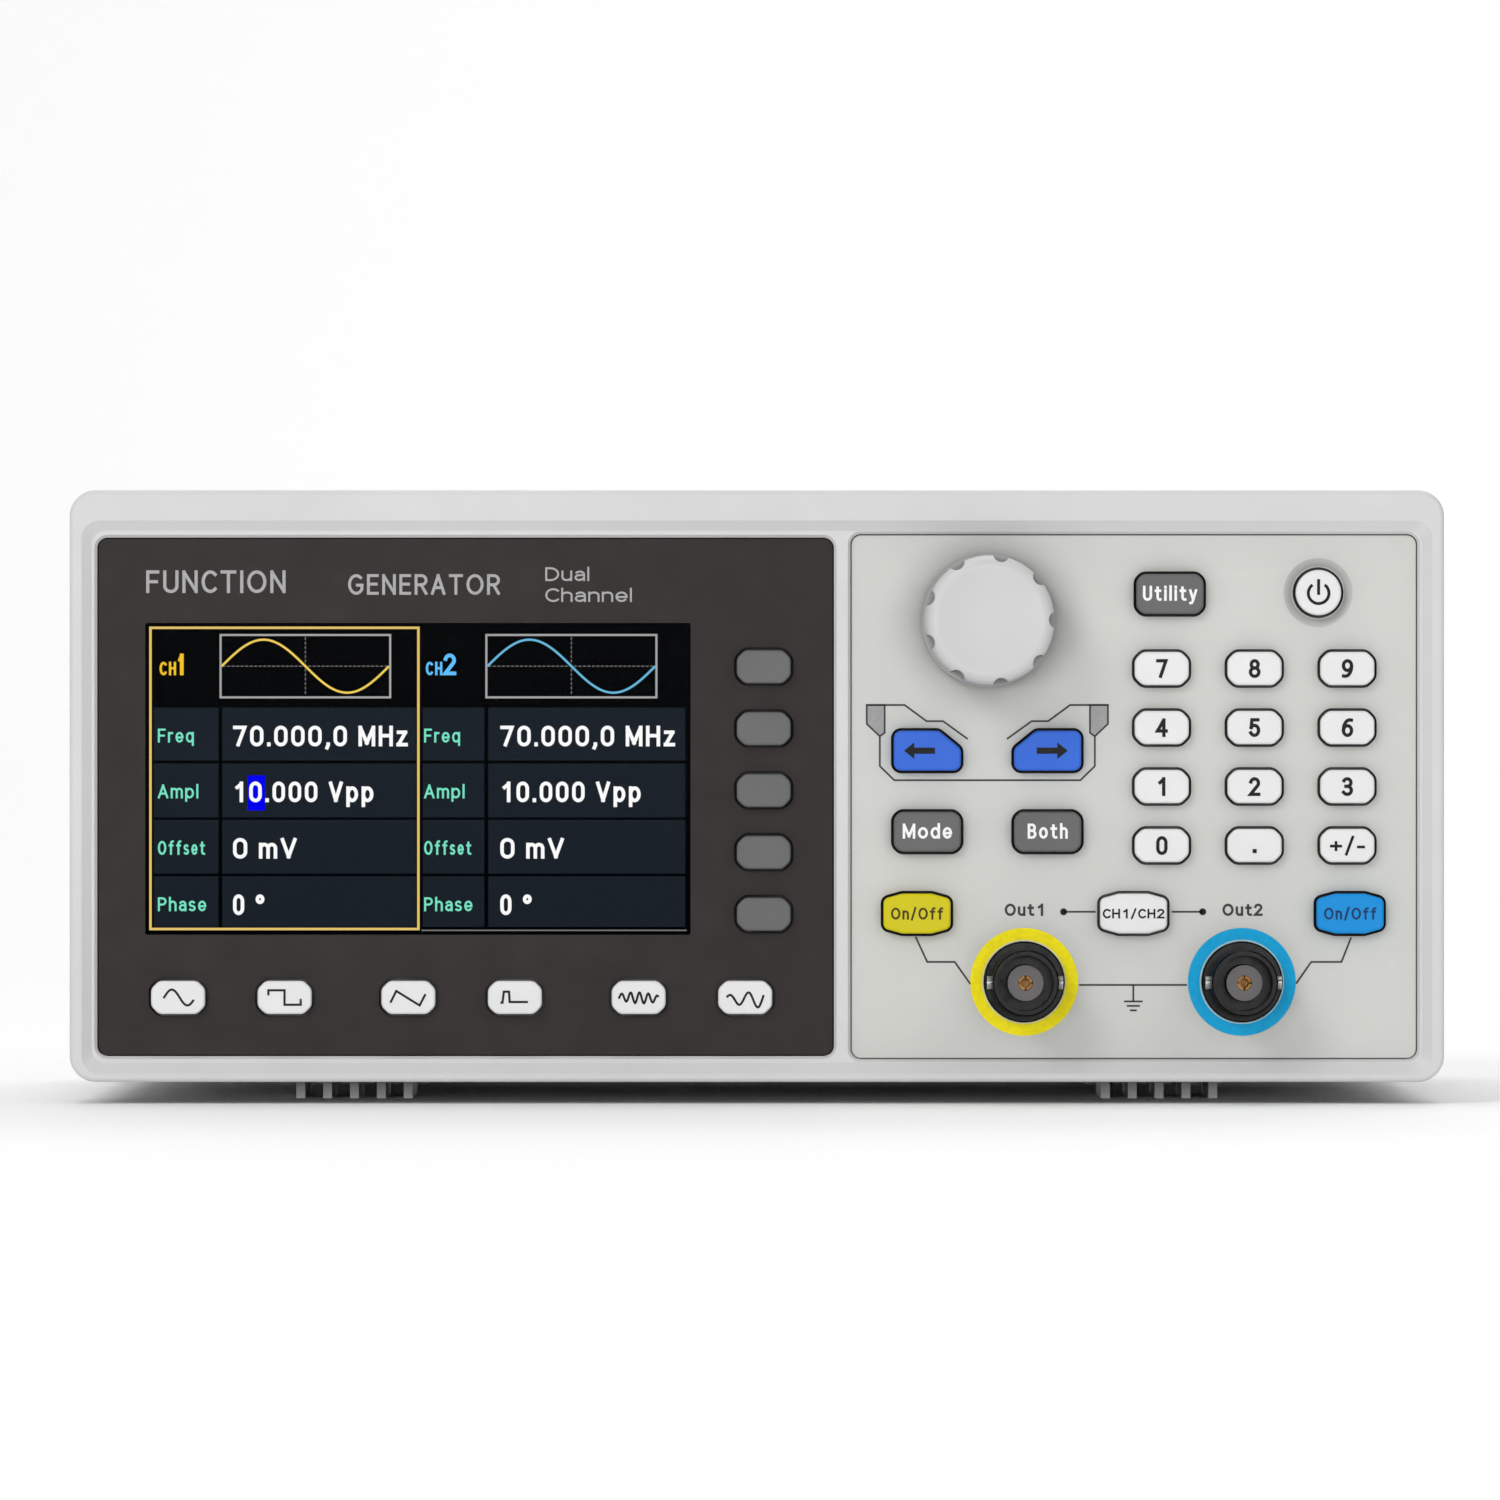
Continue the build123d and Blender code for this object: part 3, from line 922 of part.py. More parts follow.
POWER_PARTS = (
    ((-72.0, -46.0), (-14.0, 10.0), 20.0),
    ((-38.0, -26.0), (-20.0, -14.0), 14.0),
    ((-78.0, -62.0), (22.0, 32.0), 9.0),
    ((-40.0, -22.0), (26.0, 32.0), 8.0),
    ((-56.0, -44.0), (18.0, 28.0), 12.0),
)
# each as centre X and Y, radius and height
POWER_CAPACITORS = ((-30.0, 4.0, 8.0, 24.0), (-30.0, 18.0, 4.0, 12.0), (-60.0, -22.0, 5.0, 16.0))
with BuildPart() as power_board:
    block(POWER_BOARD[0], POWER_BOARD[1], (BOARD_Z, BOARD_TOP))
    fillet(power_board.edges().filter_by(Axis.Z), BOARD_CORNER)
    for part_x, part_y, part_height in POWER_PARTS:
        block(part_x, part_y, (BOARD_TOP, BOARD_TOP + part_height))
    for capacitor_x, capacitor_y, capacitor_radius, capacitor_height in POWER_CAPACITORS:
        post(capacitor_x, capacitor_y, capacitor_radius, BOARD_TOP, BOARD_TOP + capacitor_height)
    for hole_x, hole_y in POWER_BOARD_SCREWS:
        post(hole_x, hole_y, BOARD_SCREW_HOLE_RADIUS, BOARD_Z, BOARD_TOP, Mode.SUBTRACT)
finish(power_board, "power_board")

# ---------------------------------------------------------------------------- internal cables

(JACK_1_X, JACK_Z), (JACK_2_X, _) = OUTPUT_JACKS

# each lead as its radius, bend radius and the corners of its route
LEADS = (
    (1.0, 3.0, ((-75.5, 40.6, 37.5), (-75.5, 36.0, 37.5), (-75.5, 27.0, 33.0), (-75.5, 27.0, 24.8))),
    (1.0, 3.0, ((-68.5, 40.6, 41.5), (-68.5, 33.0, 41.5), (-68.5, 27.0, 35.0), (-68.5, 27.0, 24.8))),
    (0.8, 3.0, ((-31.0, 29.0, 23.8), (-31.0, 29.0, 34.0), (-14.0, 35.0, 34.0), (-1.0, 35.0, 30.0),
                (-1.0, 35.0, 20.8))),
    (1.4, 4.0, ((JACK_1_X, FRONT_Y + 14.6, JACK_Z), (JACK_1_X, FRONT_Y + 26.0, JACK_Z),
                (JACK_1_X + 12.0, -30.0, JACK_Z))),
    (1.4, 4.0, ((JACK_2_X, FRONT_Y + 14.6, JACK_Z), (JACK_2_X, FRONT_Y + 26.0, JACK_Z),
                (JACK_2_X - 10.0, -30.0, JACK_Z))),
)
RIBBON_WIDTH = 28.0
RIBBON_THICKNESS = 0.9
RIBBON_BEND_RADIUS = 3.0
RIBBON_ROUTE = (
    (15.0, FRONT_BOARD_BACK_Y + 3.1, 21.0), (15.0, FRONT_BOARD_BACK_Y + 12.0, 21.0),
    (15.0, -39.0, 33.0), (15.0, -39.0, 21.8),
)
with BuildPart() as internal_cables:
    for lead_radius, bend_radius, route in LEADS:
        with BuildLine() as lead_line:
            FilletPolyline(*route, radius=bend_radius)
        with BuildSketch(Plane(origin=lead_line.line @ 0, z_dir=lead_line.line % 0)) as lead_section:
            Circle(lead_radius)
        sweep(lead_section.sketch, path=lead_line.line)
    with BuildLine() as ribbon_line:
        FilletPolyline(*RIBBON_ROUTE, radius=RIBBON_BEND_RADIUS)
    ribbon_start = Plane(origin=ribbon_line.line @ 0, x_dir=(1, 0, 0), z_dir=ribbon_line.line % 0)
    with BuildSketch(ribbon_start) as ribbon_section:
        Rectangle(RIBBON_WIDTH, RIBBON_THICKNESS)
    sweep(ribbon_section.sketch, path=ribbon_line.line)
finish(internal_cables, "internal_cables")

# ---------------------------------------------------------------------------- screws

CASE_SCREW_LENGTH = 22.0
CASE_HEAD_HEIGHT = 2.2
DRIVE_CROSS = (3.2, 0.8)
DRIVE_DEPTH = 1.3
BOARD_HEAD_RADIUS = 2.6
BOARD_HEAD_HEIGHT = 1.8
BOARD_SHANK_RADIUS = 1.2
BOARD_SCREW_LENGTH = 6.5
FRONT_HEAD_RADIUS = 2.3
FRONT_HEAD_HEIGHT = 1.6
FRONT_SCREW_LENGTH = 4.5
with BuildPart() as screws:
    for screw_x, screw_y in CASE_SCREWS:
        head_bottom = HEAD_SEAT_Z - CASE_HEAD_HEIGHT
        post(screw_x, screw_y, SCREW_HEAD_RADIUS, head_bottom, HEAD_SEAT_Z)
        post(screw_x, screw_y, SCREW_SHANK_RADIUS, HEAD_SEAT_Z, HEAD_SEAT_Z + CASE_SCREW_LENGTH)
        for size_x, size_y in (DRIVE_CROSS, DRIVE_CROSS[::-1]):
            drive_z = (head_bottom, head_bottom + DRIVE_DEPTH)
            block(span_about(screw_x, size_x), span_about(screw_y, size_y), drive_z, Mode.SUBTRACT)
    for screw_x, screw_y in MAIN_BOARD_SCREWS + POWER_BOARD_SCREWS:
        post(screw_x, screw_y, BOARD_HEAD_RADIUS, BOARD_TOP, BOARD_TOP + BOARD_HEAD_HEIGHT)
        post(screw_x, screw_y, BOARD_SHANK_RADIUS, BOARD_TOP - BOARD_SCREW_LENGTH, BOARD_TOP)
    for screw_x, screw_z in FRONT_BOARD_SCREWS:
        rod(screw_x, screw_z, FRONT_HEAD_RADIUS, FRONT_BOARD_BACK_Y, FRONT_BOARD_BACK_Y + FRONT_HEAD_HEIGHT)
        rod(screw_x, screw_z, BOARD_SHANK_RADIUS, FRONT_BOARD_BACK_Y - FRONT_SCREW_LENGTH, FRONT_BOARD_BACK_Y)
finish(screws, "screws")
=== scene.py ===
"""Looks for a bench function generator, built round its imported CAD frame. Lengths are in millimetres times MM."""

import math

import bmesh
import bpy
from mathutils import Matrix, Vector


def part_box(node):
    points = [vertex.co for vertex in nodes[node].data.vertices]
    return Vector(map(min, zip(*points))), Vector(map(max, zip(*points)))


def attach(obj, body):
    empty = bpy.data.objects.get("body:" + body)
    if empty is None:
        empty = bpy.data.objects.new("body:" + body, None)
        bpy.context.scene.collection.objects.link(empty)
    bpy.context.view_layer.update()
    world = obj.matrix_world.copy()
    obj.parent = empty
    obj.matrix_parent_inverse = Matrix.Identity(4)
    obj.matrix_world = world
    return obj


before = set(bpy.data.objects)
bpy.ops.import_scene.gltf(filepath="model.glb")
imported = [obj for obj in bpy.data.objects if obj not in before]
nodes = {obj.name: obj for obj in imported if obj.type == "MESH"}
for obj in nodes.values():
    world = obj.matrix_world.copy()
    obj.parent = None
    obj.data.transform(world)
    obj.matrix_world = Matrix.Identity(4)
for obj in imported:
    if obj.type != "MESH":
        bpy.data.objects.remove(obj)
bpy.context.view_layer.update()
MM = 0.001
HOUSING = "housing"

# ---------------------------------------------------------------------------- places taken from the frame


def middle_of(node):
    low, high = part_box(node)
    return (low + high) / 2


bezel_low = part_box("front_bezel")[0]
PANEL_FACE_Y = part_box("screen_panel")[0].y
LCD_FACE_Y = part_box("lcd_module")[0].y
REAR_FACE_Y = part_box("rear_panel")[1].y
BOARD_THICKNESS = 1.6 * MM
INK = 0.03 * MM
# reach of the painted ambient-occlusion shade, and the depth behind the panels' face past which keys and panels are
# painted black as shadow
OCCLUSION_SHADE_REACH = 6 * MM
GAP_SHADE_DEPTH = 0.15 * MM
EDGE_WEAR = 0.06
SHARP_ANGLE = math.radians(32)

# plain millimetres, as X, as Z, or as X and Z of a centre
JACK_XS = (38.9, 70.6)
JACK_Z = 17.75
REAR_JACK_XS = (36.0, 62.0)
REAR_JACK_Z = 26.0
USB_CENTRE = (8.0, 21.2)
INLET_BLADES = ((-75.5, 37.5), (-68.5, 41.5), (-61.5, 37.5))
LINE = 0.25

KEY_NAMES = [name for name in nodes if name.startswith("key_") and name != "key_mats"]
SMALL_WHITE = KEY_NAMES + [f"{wave}_key" for wave in ("sine", "square", "ramp", "pulse", "noise", "arbitrary")]
SOFT_KEYS = [f"soft_key_{number}" for number in range(1, 6)]

# ---------------------------------------------------------------------------- camera and light

PHOTO_WIDTH = 218.2 * MM
PHOTO_CENTRE = Vector((-1.0 * MM, 0, 51.5 * MM))
LENS = 300.0
SENSOR = 36.0


def make_camera():
    data = bpy.data.cameras.new("camera")
    data.lens = LENS
    data.sensor_width = SENSOR
    data.clip_end = 20
    camera = bpy.data.objects.new("camera", data)
    bpy.context.scene.collection.objects.link(camera)
    distance = PHOTO_WIDTH * LENS / SENSOR
    camera.location = (PHOTO_CENTRE.x, bezel_low.y - distance, PHOTO_CENTRE.z)
    camera.rotation_euler = (math.radians(90), 0, 0)
    bpy.context.scene.camera = camera


def area_light(name, place, target, size, power, shape_y=None):
    data = bpy.data.lights.new(name, "AREA")
    data.energy = power
    data.size = size
    if shape_y:
        data.shape = "RECTANGLE"
        data.size_y = shape_y
    light = bpy.data.objects.new(name, data)
    light.location = place
    light.rotation_euler = (Vector(target) - Vector(place)).to_track_quat("-Z", "Y").to_euler()
    bpy.context.scene.collection.objects.link(light)


def make_light():
    world = bpy.data.worlds.new("studio")
    world.use_nodes = True
    background = world.node_tree.nodes["Background"]
    background.inputs["Color"].default_value = (1, 1, 1, 1)
    background.inputs["Strength"].default_value = 0.42
    bpy.context.scene.world = world
    target = (0, bezel_low.y, 50 * MM)
    area_light("key_light", (-0.95, -1.6, 1.1), target, 0.7, 12.0)
    area_light("fill_light", (1.2, -1.3, 0.9), target, 0.9, 4.0)
    area_light("low_light", (-0.2, -2.0, 0.12), (0, bezel_low.y, 4 * MM), 1.2, 9.0, 0.18)
    area_light("top_light", (-0.1, 0.1, 1.5), (0, 0, 0), 0.9, 7.0)
    area_light("back_light", (0.3, 1.4, 0.9), (0, 0.07, 0.04), 0.9, 6.0)
    settings = bpy.context.scene.view_settings
    settings.view_transform = "Standard"
    settings.look = "None"


# ---------------------------------------------------------------------------- material building blocks


class Surface:
    """A principled material with short helpers for its procedural nodes."""

    def __init__(self, name):
        self.material = bpy.data.materials.new(name)
        self.material.use_nodes = True
        self.tree = self.material.node_tree
        self.shader = self.tree.nodes["Principled BSDF"]
        self.coordinates = self.node("ShaderNodeTexCoord").outputs["Object"]

    def node(self, kind, **values):
        made = self.tree.nodes.new(kind)
        for key, value in values.items():
            setattr(made, key, value)
        return made

    def link(self, output, target):
        self.tree.links.new(output, target)

    def set(self, **sockets):
        for name, value in sockets.items():
            self.shader.inputs[name.replace("_", " ")].default_value = value

    def noise(self, scale, detail=3.0, roughness=0.5, stretch=(1, 1, 1)):
        """Fractal noise between 0 and 1, with scale in features per metre."""
        mapping = self.node("ShaderNodeMapping")
        mapping.inputs["Scale"].default_value = stretch
        self.link(self.coordinates, mapping.inputs["Vector"])
        texture = self.node("ShaderNodeTexNoise")
        texture.inputs["Scale"].default_value = scale
        texture.inputs["Detail"].default_value = detail
        texture.inputs["Roughness"].default_value = roughness
        self.link(mapping.outputs["Vector"], texture.inputs["Vector"])
        return texture.outputs["Fac"]

    def between(self, factor, low, high):
        """Stretch a 0 to 1 value so that it runs from low to high."""
        spread = self.node("ShaderNodeMapRange")
        spread.inputs["From Min"].default_value = 0.3
        spread.inputs["From Max"].default_value = 0.7
        spread.inputs["To Min"].default_value = low
        spread.inputs["To Max"].default_value = high
        self.link(factor, spread.inputs["Value"])
        return spread.outputs["Result"]

    def mix(self, factor, first, second):
        blend = self.node("ShaderNodeMix", data_type="RGBA")
        self.link(factor, blend.inputs["Factor"])
        for value, socket in ((first, blend.inputs["A"]), (second, blend.inputs["B"])):
            if isinstance(value, tuple):
                socket.default_value = (*value, 1)
            else:
                self.link(value, socket)
        return blend.outputs["Result"]

    def bump(self, height, strength, distance):
        bump = self.node("ShaderNodeBump")
        bump.inputs["Strength"].default_value = strength
        bump.inputs["Distance"].default_value = distance
        self.link(height, bump.inputs["Height"])
        previous = self.shader.inputs["Normal"]
        if previous.is_linked:
            self.link(previous.links[0].from_socket, bump.inputs["Normal"])
        self.link(bump.outputs["Normal"], previous)


def linear(value):
    """A display grey or colour from 0 to 255, as scene-linear light."""
    if isinstance(value, (int, float)):
        value = (value,) * 3
    unit = [channel / 255 for channel in value]
    return tuple(c / 12.92 if c <= 0.04045 else ((c + 0.055) / 1.055) ** 2.4 for c in unit)


def scaled(colour, factor):
    return tuple(min(1.0, channel * factor) for channel in colour)


def moulded_plastic(name, colour, roughness=0.45, grain=2600, depth=0.02, variation=0.025, sheen=0.5, occlusion_shade=0.0,
                    gap_shade_depth=None):
    """Injection-moulded plastic: faint tone drift, spark-eroded grain, and edges polished by handling.

    occlusion_shade paints shade where other pieces stand close, from an ambient occlusion term. gap_shade_depth is
    a depth behind the panels' face beyond which all is painted black, as painted shadow in the gap around a key.
    """
    surface = Surface(name)
    drift = surface.between(surface.noise(28, 4), 0, 1)
    base = surface.mix(drift, scaled(colour, 1 - variation), scaled(colour, 1 + variation))
    edge = surface.node("ShaderNodeMapRange")
    edge.inputs["From Min"].default_value = 0.53
    edge.inputs["From Max"].default_value = 0.62
    edge.inputs["To Max"].default_value = EDGE_WEAR
    surface.link(surface.node("ShaderNodeNewGeometry").outputs["Pointiness"], edge.inputs["Value"])
    finished = surface.mix(edge.outputs["Result"], base, scaled(colour, 1.5))
    # painted shade: ambient occlusion blends the colour toward near black where other pieces stand close
    if occlusion_shade:
        near = surface.node("ShaderNodeAmbientOcclusion", samples=8)
        near.inputs["Distance"].default_value = OCCLUSION_SHADE_REACH
        shade_strength = surface.node("ShaderNodeMapRange")
        shade_strength.inputs["To Min"].default_value = occlusion_shade
        shade_strength.inputs["To Max"].default_value = 0.0
        surface.link(near.outputs["AO"], shade_strength.inputs["Value"])
        finished = surface.mix(shade_strength.outputs["Result"], finished, scaled(colour, 0.12))
    # painted shadow: everything deeper than this behind the panels' face turns near black, standing in for the
    # shade in the gaps round keys and panels
    if gap_shade_depth:
        place = surface.node("ShaderNodeSeparateXYZ")
        surface.link(surface.coordinates, place.inputs["Vector"])
        behind = surface.node("ShaderNodeMath", operation="GREATER_THAN")
        behind.inputs[1].default_value = PANEL_FACE_Y + gap_shade_depth
        surface.link(place.outputs["Y"], behind.inputs[0])
        finished = surface.mix(behind.outputs["Value"], finished, linear(12))
    surface.link(finished, surface.shader.inputs["Base Color"])
    surface.link(surface.between(surface.noise(190, 3), roughness - 0.05, roughness + 0.05),
                 surface.shader.inputs["Roughness"])
    surface.bump(surface.noise(grain, 2, 0.6), 0.35, depth * MM)
    surface.set(Specular_IOR_Level=sheen)
    return surface.material


def metal(name, colour, roughness=0.25, stretch=(1, 1, 1), scale=900, depth=0.008, rim=1.0):
    """Plated or cut metal, with fine tool marks drawn out along one direction; rim dulls its glancing shine."""
    surface = Surface(name)
    marks = surface.noise(scale, 4, 0.6, stretch)
    stain = surface.between(surface.noise(70, 4), 0, 1)
    stained = surface.mix(stain, scaled(colour, 0.92), scaled(colour, 1.08))
    surface.link(stained, surface.shader.inputs["Base Color"])
    surface.link(surface.between(marks, roughness - 0.07, roughness + 0.1), surface.shader.inputs["Roughness"])
    surface.bump(marks, 0.3, depth * MM)
    surface.set(Metallic=1.0, Specular_Tint=(rim, rim, rim, 1))
    return surface.material


def ink(name, colour):
    """Screen-printed ink: nearly even, with a faint mottle where the film is thin."""
    surface = Surface(name)
    mottle = surface.between(surface.noise(1500, 3), 0, 1)
    film = surface.mix(mottle, scaled(colour, 0.94), scaled(colour, 1.06))
    surface.link(film, surface.shader.inputs["Base Color"])
    surface.link(surface.between(surface.noise(900, 2), 0.44, 0.56), surface.shader.inputs["Roughness"])
    surface.bump(surface.noise(3200, 2), 0.15, 0.01 * MM)
    surface.set(Specular_IOR_Level=0.15)
    return surface.material


def display_light(name, colour):
    """A lit area of the display, with the faint grid of its dots."""
    surface = Surface(name)
    dots = surface.node("ShaderNodeTexWave", wave_type="BANDS", bands_direction="Z")
    dots.inputs["Scale"].default_value = 1 / (DOT * math.tau)
    surface.link(surface.coordinates, dots.inputs["Vector"])
    glow = surface.mix(dots.outputs["Fac"], scaled(colour, 0.97), scaled(colour, 1.03))
    surface.link(glow, surface.shader.inputs["Emission Color"])
    surface.set(Emission_Strength=1.0, Roughness=0.5, Specular_IOR_Level=0.0)
    surface.shader.inputs["Base Color"].default_value = (0, 0, 0, 1)
    return surface.material


def circuit_board_surface(name):
    """Green solder mask over a faint pattern of tracks."""
    surface = Surface(name)
    tracks = surface.node("ShaderNodeTexBrick", offset=0.35)
    tracks.inputs["Scale"].default_value = 260
    tracks.inputs["Mortar Size"].default_value = 0.012
    tracks.inputs["Color1"].default_value = (0.012, 0.12, 0.045, 1)
    tracks.inputs["Color2"].default_value = (0.016, 0.15, 0.055, 1)
    tracks.inputs["Mortar"].default_value = (0.05, 0.26, 0.09, 1)
    surface.link(surface.coordinates, tracks.inputs["Vector"])
    surface.link(tracks.outputs["Color"], surface.shader.inputs["Base Color"])
    surface.link(surface.between(surface.noise(300, 2), 0.3, 0.42), surface.shader.inputs["Roughness"])
    surface.bump(tracks.outputs["Fac"], 0.2, 0.03 * MM)
    return surface.material


def clear_lens(name):
    """Clear acrylic that lets the display through, with a faint gloss."""
    surface = Surface(name)
    surface.link(surface.between(surface.noise(120, 2), 0.05, 0.09), surface.shader.inputs["Roughness"])
    surface.set(Alpha=0.008, Specular_IOR_Level=0.12)
    surface.shader.inputs["Base Color"].default_value = (0.02, 0.02, 0.022, 1)
    return surface.material


# ---------------------------------------------------------------------------- mesh building blocks


def to_object(name, mesh_data, material, body):
    """Make a mesh object from a bmesh, with a material, riding on a body."""
    data = bpy.data.meshes.new(name)
    bmesh.ops.recalc_face_normals(mesh_data, faces=mesh_data.faces)
    mesh_data.to_mesh(data)
    mesh_data.free()
    data.materials.append(material)
    made = bpy.data.objects.new(name, data)
    bpy.context.scene.collection.objects.link(made)
    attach(made, body)
    return made


def solid_from_outline(mesh_data, outline, y_back, thickness):
    """Add a closed flat solid in the XZ plane, from its back face at y_back toward the front."""
    back = [mesh_data.verts.new((x, y_back, z)) for x, z in outline]
    front = [mesh_data.verts.new((x, y_back - thickness, z)) for x, z in outline]
    mesh_data.faces.new(back)
    mesh_data.faces.new(list(reversed(front)))
    count = len(outline)
    for index in range(count):
        after = (index + 1) % count
        mesh_data.faces.new((back[index], front[index], front[after], back[after]))


def offset_line(points, distance, closed):
    """Points beside a line, at one distance, with mitred corners."""
    moved = []
    count = len(points)
    for index, point in enumerate(points):
        here = Vector(point)
        before = Vector(points[index - 1]) if index > 0 or closed else None
        after = Vector(points[(index + 1) % count]) if index < count - 1 or closed else None
        directions = []
        if before is not None:
            directions.append((here - before).normalized())
        if after is not None:
            directions.append((after - here).normalized())
        normals = [Vector((-d.y, d.x)) for d in directions]
        normal = sum(normals, Vector((0, 0))).normalized()
        stretch = 1 / max(0.4, normal.dot(normals[0]))
        moved.append(here + normal * distance * stretch)
    return moved


def stroke(mesh_data, points, width, y_back, thickness=INK, closed=False, toward=-1):
    """Add a closed flat ribbon that follows a line in the XZ plane."""
    left = offset_line(points, width / 2, closed)
    right = offset_line(points, -width / 2, closed)
    y_front = y_back + toward * thickness
    rings = []
    for index in range(len(points)):
        rings.append([
            mesh_data.verts.new((left[index].x, y_back, left[index].y)),
            mesh_data.verts.new((left[index].x, y_front, left[index].y)),
            mesh_data.verts.new((right[index].x, y_front, right[index].y)),
            mesh_data.verts.new((right[index].x, y_back, right[index].y)),
        ])
    pairs = list(zip(rings, rings[1:]))
    if closed:
        pairs.append((rings[-1], rings[0]))
    else:
        mesh_data.faces.new(rings[0])
        mesh_data.faces.new(list(reversed(rings[-1])))
    for first, second in pairs:
        for side in range(4):
            after = (side + 1) % 4
            mesh_data.faces.new((first[side], first[after], second[after], second[side]))


def disc_points(x, z, radius, steps):
    angles = [math.tau * step / steps for step in range(steps)]
    return [(x + radius * math.cos(angle), z + radius * math.sin(angle)) for angle in angles]


def ring(name, x, z, inner, outer, y_back, material, toward=-1):
    """A flat printed ring."""
    mesh_data = bmesh.new()
    stroke(mesh_data, disc_points(x, z, (inner + outer) / 2, 96), outer - inner, y_back, INK, True, toward)
    return to_object(name, mesh_data, material, HOUSING)


def box_outline(low_x, high_x, low_z, high_z):
    return [(low_x, low_z), (high_x, low_z), (high_x, high_z), (low_x, high_z)]


ARC_STEP = 15


def arc(x, y, radius_x, radius_y, start, end):
    """Points along part of an ellipse, from one angle to another in degrees, anticlockwise from the right."""
    steps = max(3, round(abs(end - start) / ARC_STEP))
    angles = [math.radians(start + (end - start) * step / steps) for step in range(steps + 1)]
    return [(x + radius_x * math.cos(angle), y + radius_y * math.sin(angle)) for angle in angles]


BOWL = arc(0.24, 0.36, 0.24, 0.36, 0, 360)
TALL_STEM = [(0, 0), (0, 1.04)]
STEM = [(0, 0), (0, 0.72)]
ARCH = [(0, 0.44), *arc(0.22, 0.48, 0.22, 0.24, 180, 0), (0.44, 0)]
SIX_BOWL = arc(0.27, 0.31, 0.26, 0.31, 0, 360)
SIX_BACK = arc(0.42, 0.36, 0.41, 0.64, 76, 180)
P_BOWL = [(0, 1), *arc(0.27, 0.74, 0.25, 0.26, 90, -90), (0, 0.48)]

